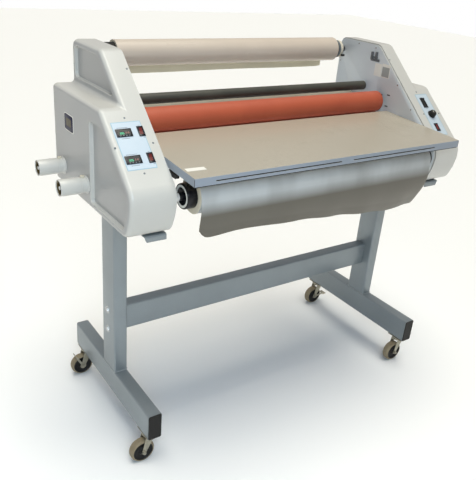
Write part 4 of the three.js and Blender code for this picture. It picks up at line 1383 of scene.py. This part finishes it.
label("panel_label_left", -702, -607.5, 265, 428)
label("panel_label_right", 618, 687, 252, 449)

SEGMENTS = {"0": "abcdef", "1": "bc", "2": "abged", "5": "afgcd"}


def digit(figure, x, y, high):
    """One seven-segment figure as small bars, x and y its centre on the meter face, in mm."""
    w, t = high * 0.5, high * 0.13
    bars = {"a": (0, high / 2, w, t), "g": (0, 0, w, t), "d": (0, -high / 2, w, t),
            "b": (w / 2, high / 4, t, high / 2), "c": (w / 2, -high / 4, t, high / 2),
            "f": (-w / 2, high / 4, t, high / 2), "e": (-w / 2, -high / 4, t, high / 2)}
    bm = bmesh.new()
    for key in SEGMENTS[figure]:
        cx, cy, wide, long = bars[key]
        bar = panel_block(wide, long, 0.25)
        merge(bm, moved(bar, shift((x + cx, y + cy, 0))))
    return bm


def meter(where, x, s):
    bm = panel_block(50, 27, 3.0, 0.9, 3)
    window = panel_block(41, 18, 0.7, 0.25, 1, z0=2.75)
    moved(window, shift((0, 1.2, 0)))
    merge(bm, window, 1)
    for i in range(4):
        key = panel_block(5.2, 2.4, 1.0, 0.35, 2, z0=2.9)
        merge(bm, moved(key, shift((-14 + 9.3 * i, -10.4, 0))), 4)
    row = bmesh.new()
    for i, figure in enumerate("205"):
        merge(row, digit(figure, -12.5 + 4.6 * i, -2.4, 5.6))
    merge(bm, moved(row, shift((0, 0, 3.4))), 2)
    row = bmesh.new()
    for i, figure in enumerate("210"):
        merge(row, digit(figure, 5.5 + 4.0 * i, -1.2, 4.6))
    merge(bm, moved(row, shift((0, 0, 3.4))), 3)
    body = panel_block(43.5, 21, 44, z0=-43)
    merge(bm, body, 0)
    on_panel(bm, x, s, 0.4)
    publish(f"meter_{where}", bm,
            ["gloss_black", "window", "digit_green", "digit_red", "hub"], "frame",
            [f"controller_{where}"])


for meter_name, meter_x, meter_s in CONTROLLERS:
    meter(meter_name, meter_x, meter_s)


def rocker(name, x, s, wide, long, key):
    """A tipped rocker with a dished face, in a thin moulded surround."""
    h = long / 2
    profile = []
    for t in (i / 7 - 1 for i in range(15)):
        lift = 1.4 + 4.2 * max(0, t) ** 1.4 + 0.5 * max(0, -t) ** 2
        profile.append((t * h * 0.98, lift))

    def crown(half, edge, low, high):
        return [(-half, low), (-half + edge, high), (half - edge, high), (half, low)]

    top = crown(wide / 2, 0.7, -0.5, 0)
    bm = loft([[(ax, y, z + dz) for ax, dz in top] + [(wide / 2, y, -5.5), (-wide / 2, y, -5.5)]
               for y, z in profile], caps=True)
    merge(bm, loft([[(ax, y, z + dz) for ax, dz in crown(wide / 2 - 2.6, 0.5, -0.6, 0.45)]
                    for y, z in profile if abs(y) < h * 0.76], caps=True), 1)
    on_panel(bm, x, s, 0.0)
    publish(f"rocker_face_{name}", bm, ["gloss_black", "lens_red" if key == "red" else "black"],
            f"rocker_{name}_tip", [f"rocker_{name}"])
    rim = loose(panel_block(wide + 4.5, long + 5, 1.6, 0.5, 2))
    cut(rim, panel_block(wide + 1.0, long + 1.4, 6, z0=-2))
    surround = on_panel(reopen(rim), x, s, 0.5)
    publish(f"rocker_rim_{name}", surround, "gloss_black")


for rocker_row in ROCKERS:
    rocker(*rocker_row)


def knob():
    """A fluted cap with a pointer line, and plain ticks round it."""
    x, s = KNOB
    n, flutes = 72, 18
    # height, radius and depth of the flutes
    levels = ((0.3, 17.2, 0), (1.6, 17.2, 0), (2.2, 15.6, 0.9), (13.2, 14.3, 0.9),
              (15.6, 13.2, 0.5), (16.2, 11.8, 0))
    rings = []
    for z, r, deep in levels:
        ring = []
        for a in (math.tau * i / n for i in range(n)):
            rim = r - deep * (0.5 + 0.5 * math.cos(flutes * a))
            ring.append((rim * math.cos(a), rim * math.sin(a), z))
        rings.append(ring)
    bm = loft(rings, caps=True)
    stem = lathe([(-18, 0), (-18, 3), (0.5, 3), (0.5, 0)], 24)
    merge(bm, stem, 1)
    pointer = panel_block(1.6, 12, 0.5, z0=16.0)
    merge(bm, moved(pointer, shift((0, 6, 0))), 2)
    on_panel(bm, x, s)
    publish("knob_cap", bm, ["black", "steel", "white"], "knob", ["speed_knob"],
            smooth=30)
    ticks = bmesh.new()
    for i in range(11):
        a = math.radians(240 - 30 * i)
        tick = panel_block(3.2, 0.7, 0.2)
        moved(tick, Matrix.Rotation(a, 4, "Z"),
              shift((21 * math.cos(a), 21 * math.sin(a), 0)))
        merge(ticks, tick)
    publish("knob_scale", on_panel(ticks, x, s, 0.52), "print")


knob()


def panel_screws():
    bm = bmesh.new()
    spots = [(-652, 252), (-714, 349), (-592, 345), (-655, 441), (-583.5, 77),
             (636, 240), (612, 345), (700, 349), (652, 462), (583.5, 77)]
    for x, s in spots:
        merge(bm, bead(panel(x, s), 3.2, panel(x, s, 1) - panel(x, s)))
    publish("cover_screws", bm, "hub")
    lines = bmesh.new()
    for x, s, wide in ((-671, 285, 34), (-673, 376, 34), (-616, 281, 6), (-612, 323, 6),
                       (-617, 372, 6), (-613, 414, 6), (-671, 322, 26), (-672, 413, 26),
                       (646, 268, 10), (646, 322, 12), (650, 434, 12)):
        merge(lines, on_panel(panel_block(wide, 1.1, 0.2), x, s, 0.52))
    publish("label_rules", lines, "print")


panel_screws()


def badge():
    """A plain dark badge with a pale rim on the left cover's outer face."""
    x = -LOWER_X

    def plate(y0, y1, z0, z1, out, r):
        shape = rounded_rectangle(y1 - y0, z1 - z0, r)
        y, z = (y0 + y1) / 2, (z0 + z1) / 2
        return loft([[at(x + dx, y + a * ka, z + b * kb) for a, b in shape]
                     for dx, ka, kb in ((0.2, 1, 1), (-out * 0.6, 1, 1), (-out, 0.985, 0.975))],
                    caps=True)

    bm = plate(113, 193, 1076, 1134, 0.8, 8)
    merge(bm, plate(115.5, 190.5, 1078.5, 1131.5, 1.2, 7), 1)
    merge(bm, plate(132, 174, 1093, 1119, 1.5, 3), 2)
    publish("side_badge", bm, ["white", "navy", "badge_tan"])


badge()


def plate_details():
    """A small folded bracket and a blank two-tone sticker on the right plate's inner face."""
    x = PLATE_IN
    bm = block(x - 2, x, 58, 108, 1281, 1292, 0.6)
    merge(bm, block(x - 9, x - 0.5, 72, 80, 1290, 1320, 0.8))
    merge(bm, block(x - 9, x - 0.5, 96, 104, 1288, 1318, 0.8))
    merge(bm, block(x - 3, x, 70, 106, 1294, 1300, 0.6))
    publish("film_bracket", bm, "cast")
    sticker = block(x - 0.4, x + 0.1, 40, 79, 1225, 1276, 0.1, 1)
    merge(sticker, block(x - 0.5, x + 0.1, -7, 38, 1226, 1280, 0.1, 1), 0)
    merge(sticker, block(x - 0.8, x + 0.1, -4, 35, 1229, 1268, 0.1, 1), 1)
    publish("plate_sticker", sticker, ["white", "sticker_grey"])


plate_details()


def rear_details():
    """The mains inlet and cover screws at the back."""
    lo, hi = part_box("power_inlet")
    bm = cad_copy("power_inlet", 0.5)
    x, z = ((lo.x + hi.x) / 2 - OX) / MM, (lo.z + hi.z) / 2 / MM
    y = (hi.y - OY) / MM
    for dx in (-6, 0, 6):
        merge(bm, block(x + dx - 1, x + dx + 1, y - 12, y - 3, z - 3, z + 3, 0.3), 1)
    for dx in (-20.5, 20.5):
        merge(bm, bead(at(x + dx, y, z), 2.4, (0, 1, 0)), 1)
    publish("mains_inlet", bm, ["black", "steel"], "frame", ["power_inlet"])
    screws = bmesh.new()
    for _, sign in SIDES:
        for px, pz in ((600, 1290), (600, 1120), (600, 900), (705, 1170), (705, 900)):
            merge(screws, bead(at(sign * px, 302, pz), 3.6, (0, 1, 0)))
    publish("rear_screws", screws, "hub")


rear_details()


# ---- floor ----------------------------------------------------------------------------------
FLOOR_HALF = 14


def floor():
    n = Nodes("floor_pale")
    broad = n.noise(0.7, 2)
    n.put(n.mix(n.ramp(broad, 0.3, 0.7, 0, 0.15), (0.94, 0.96, 0.98, 1), (0.92, 0.94, 0.96, 1)),
          n.shader.inputs["Base Color"])
    n.set(Roughness=0.9, Specular_IOR_Level=0.1)
    bm = bmesh.new()
    bmesh.ops.create_grid(bm, x_segments=8, y_segments=8, size=FLOOR_HALF)
    obj = link("floor", mesh_of(bm, "floor"))
    obj.data.materials.append(n.material)


floor()
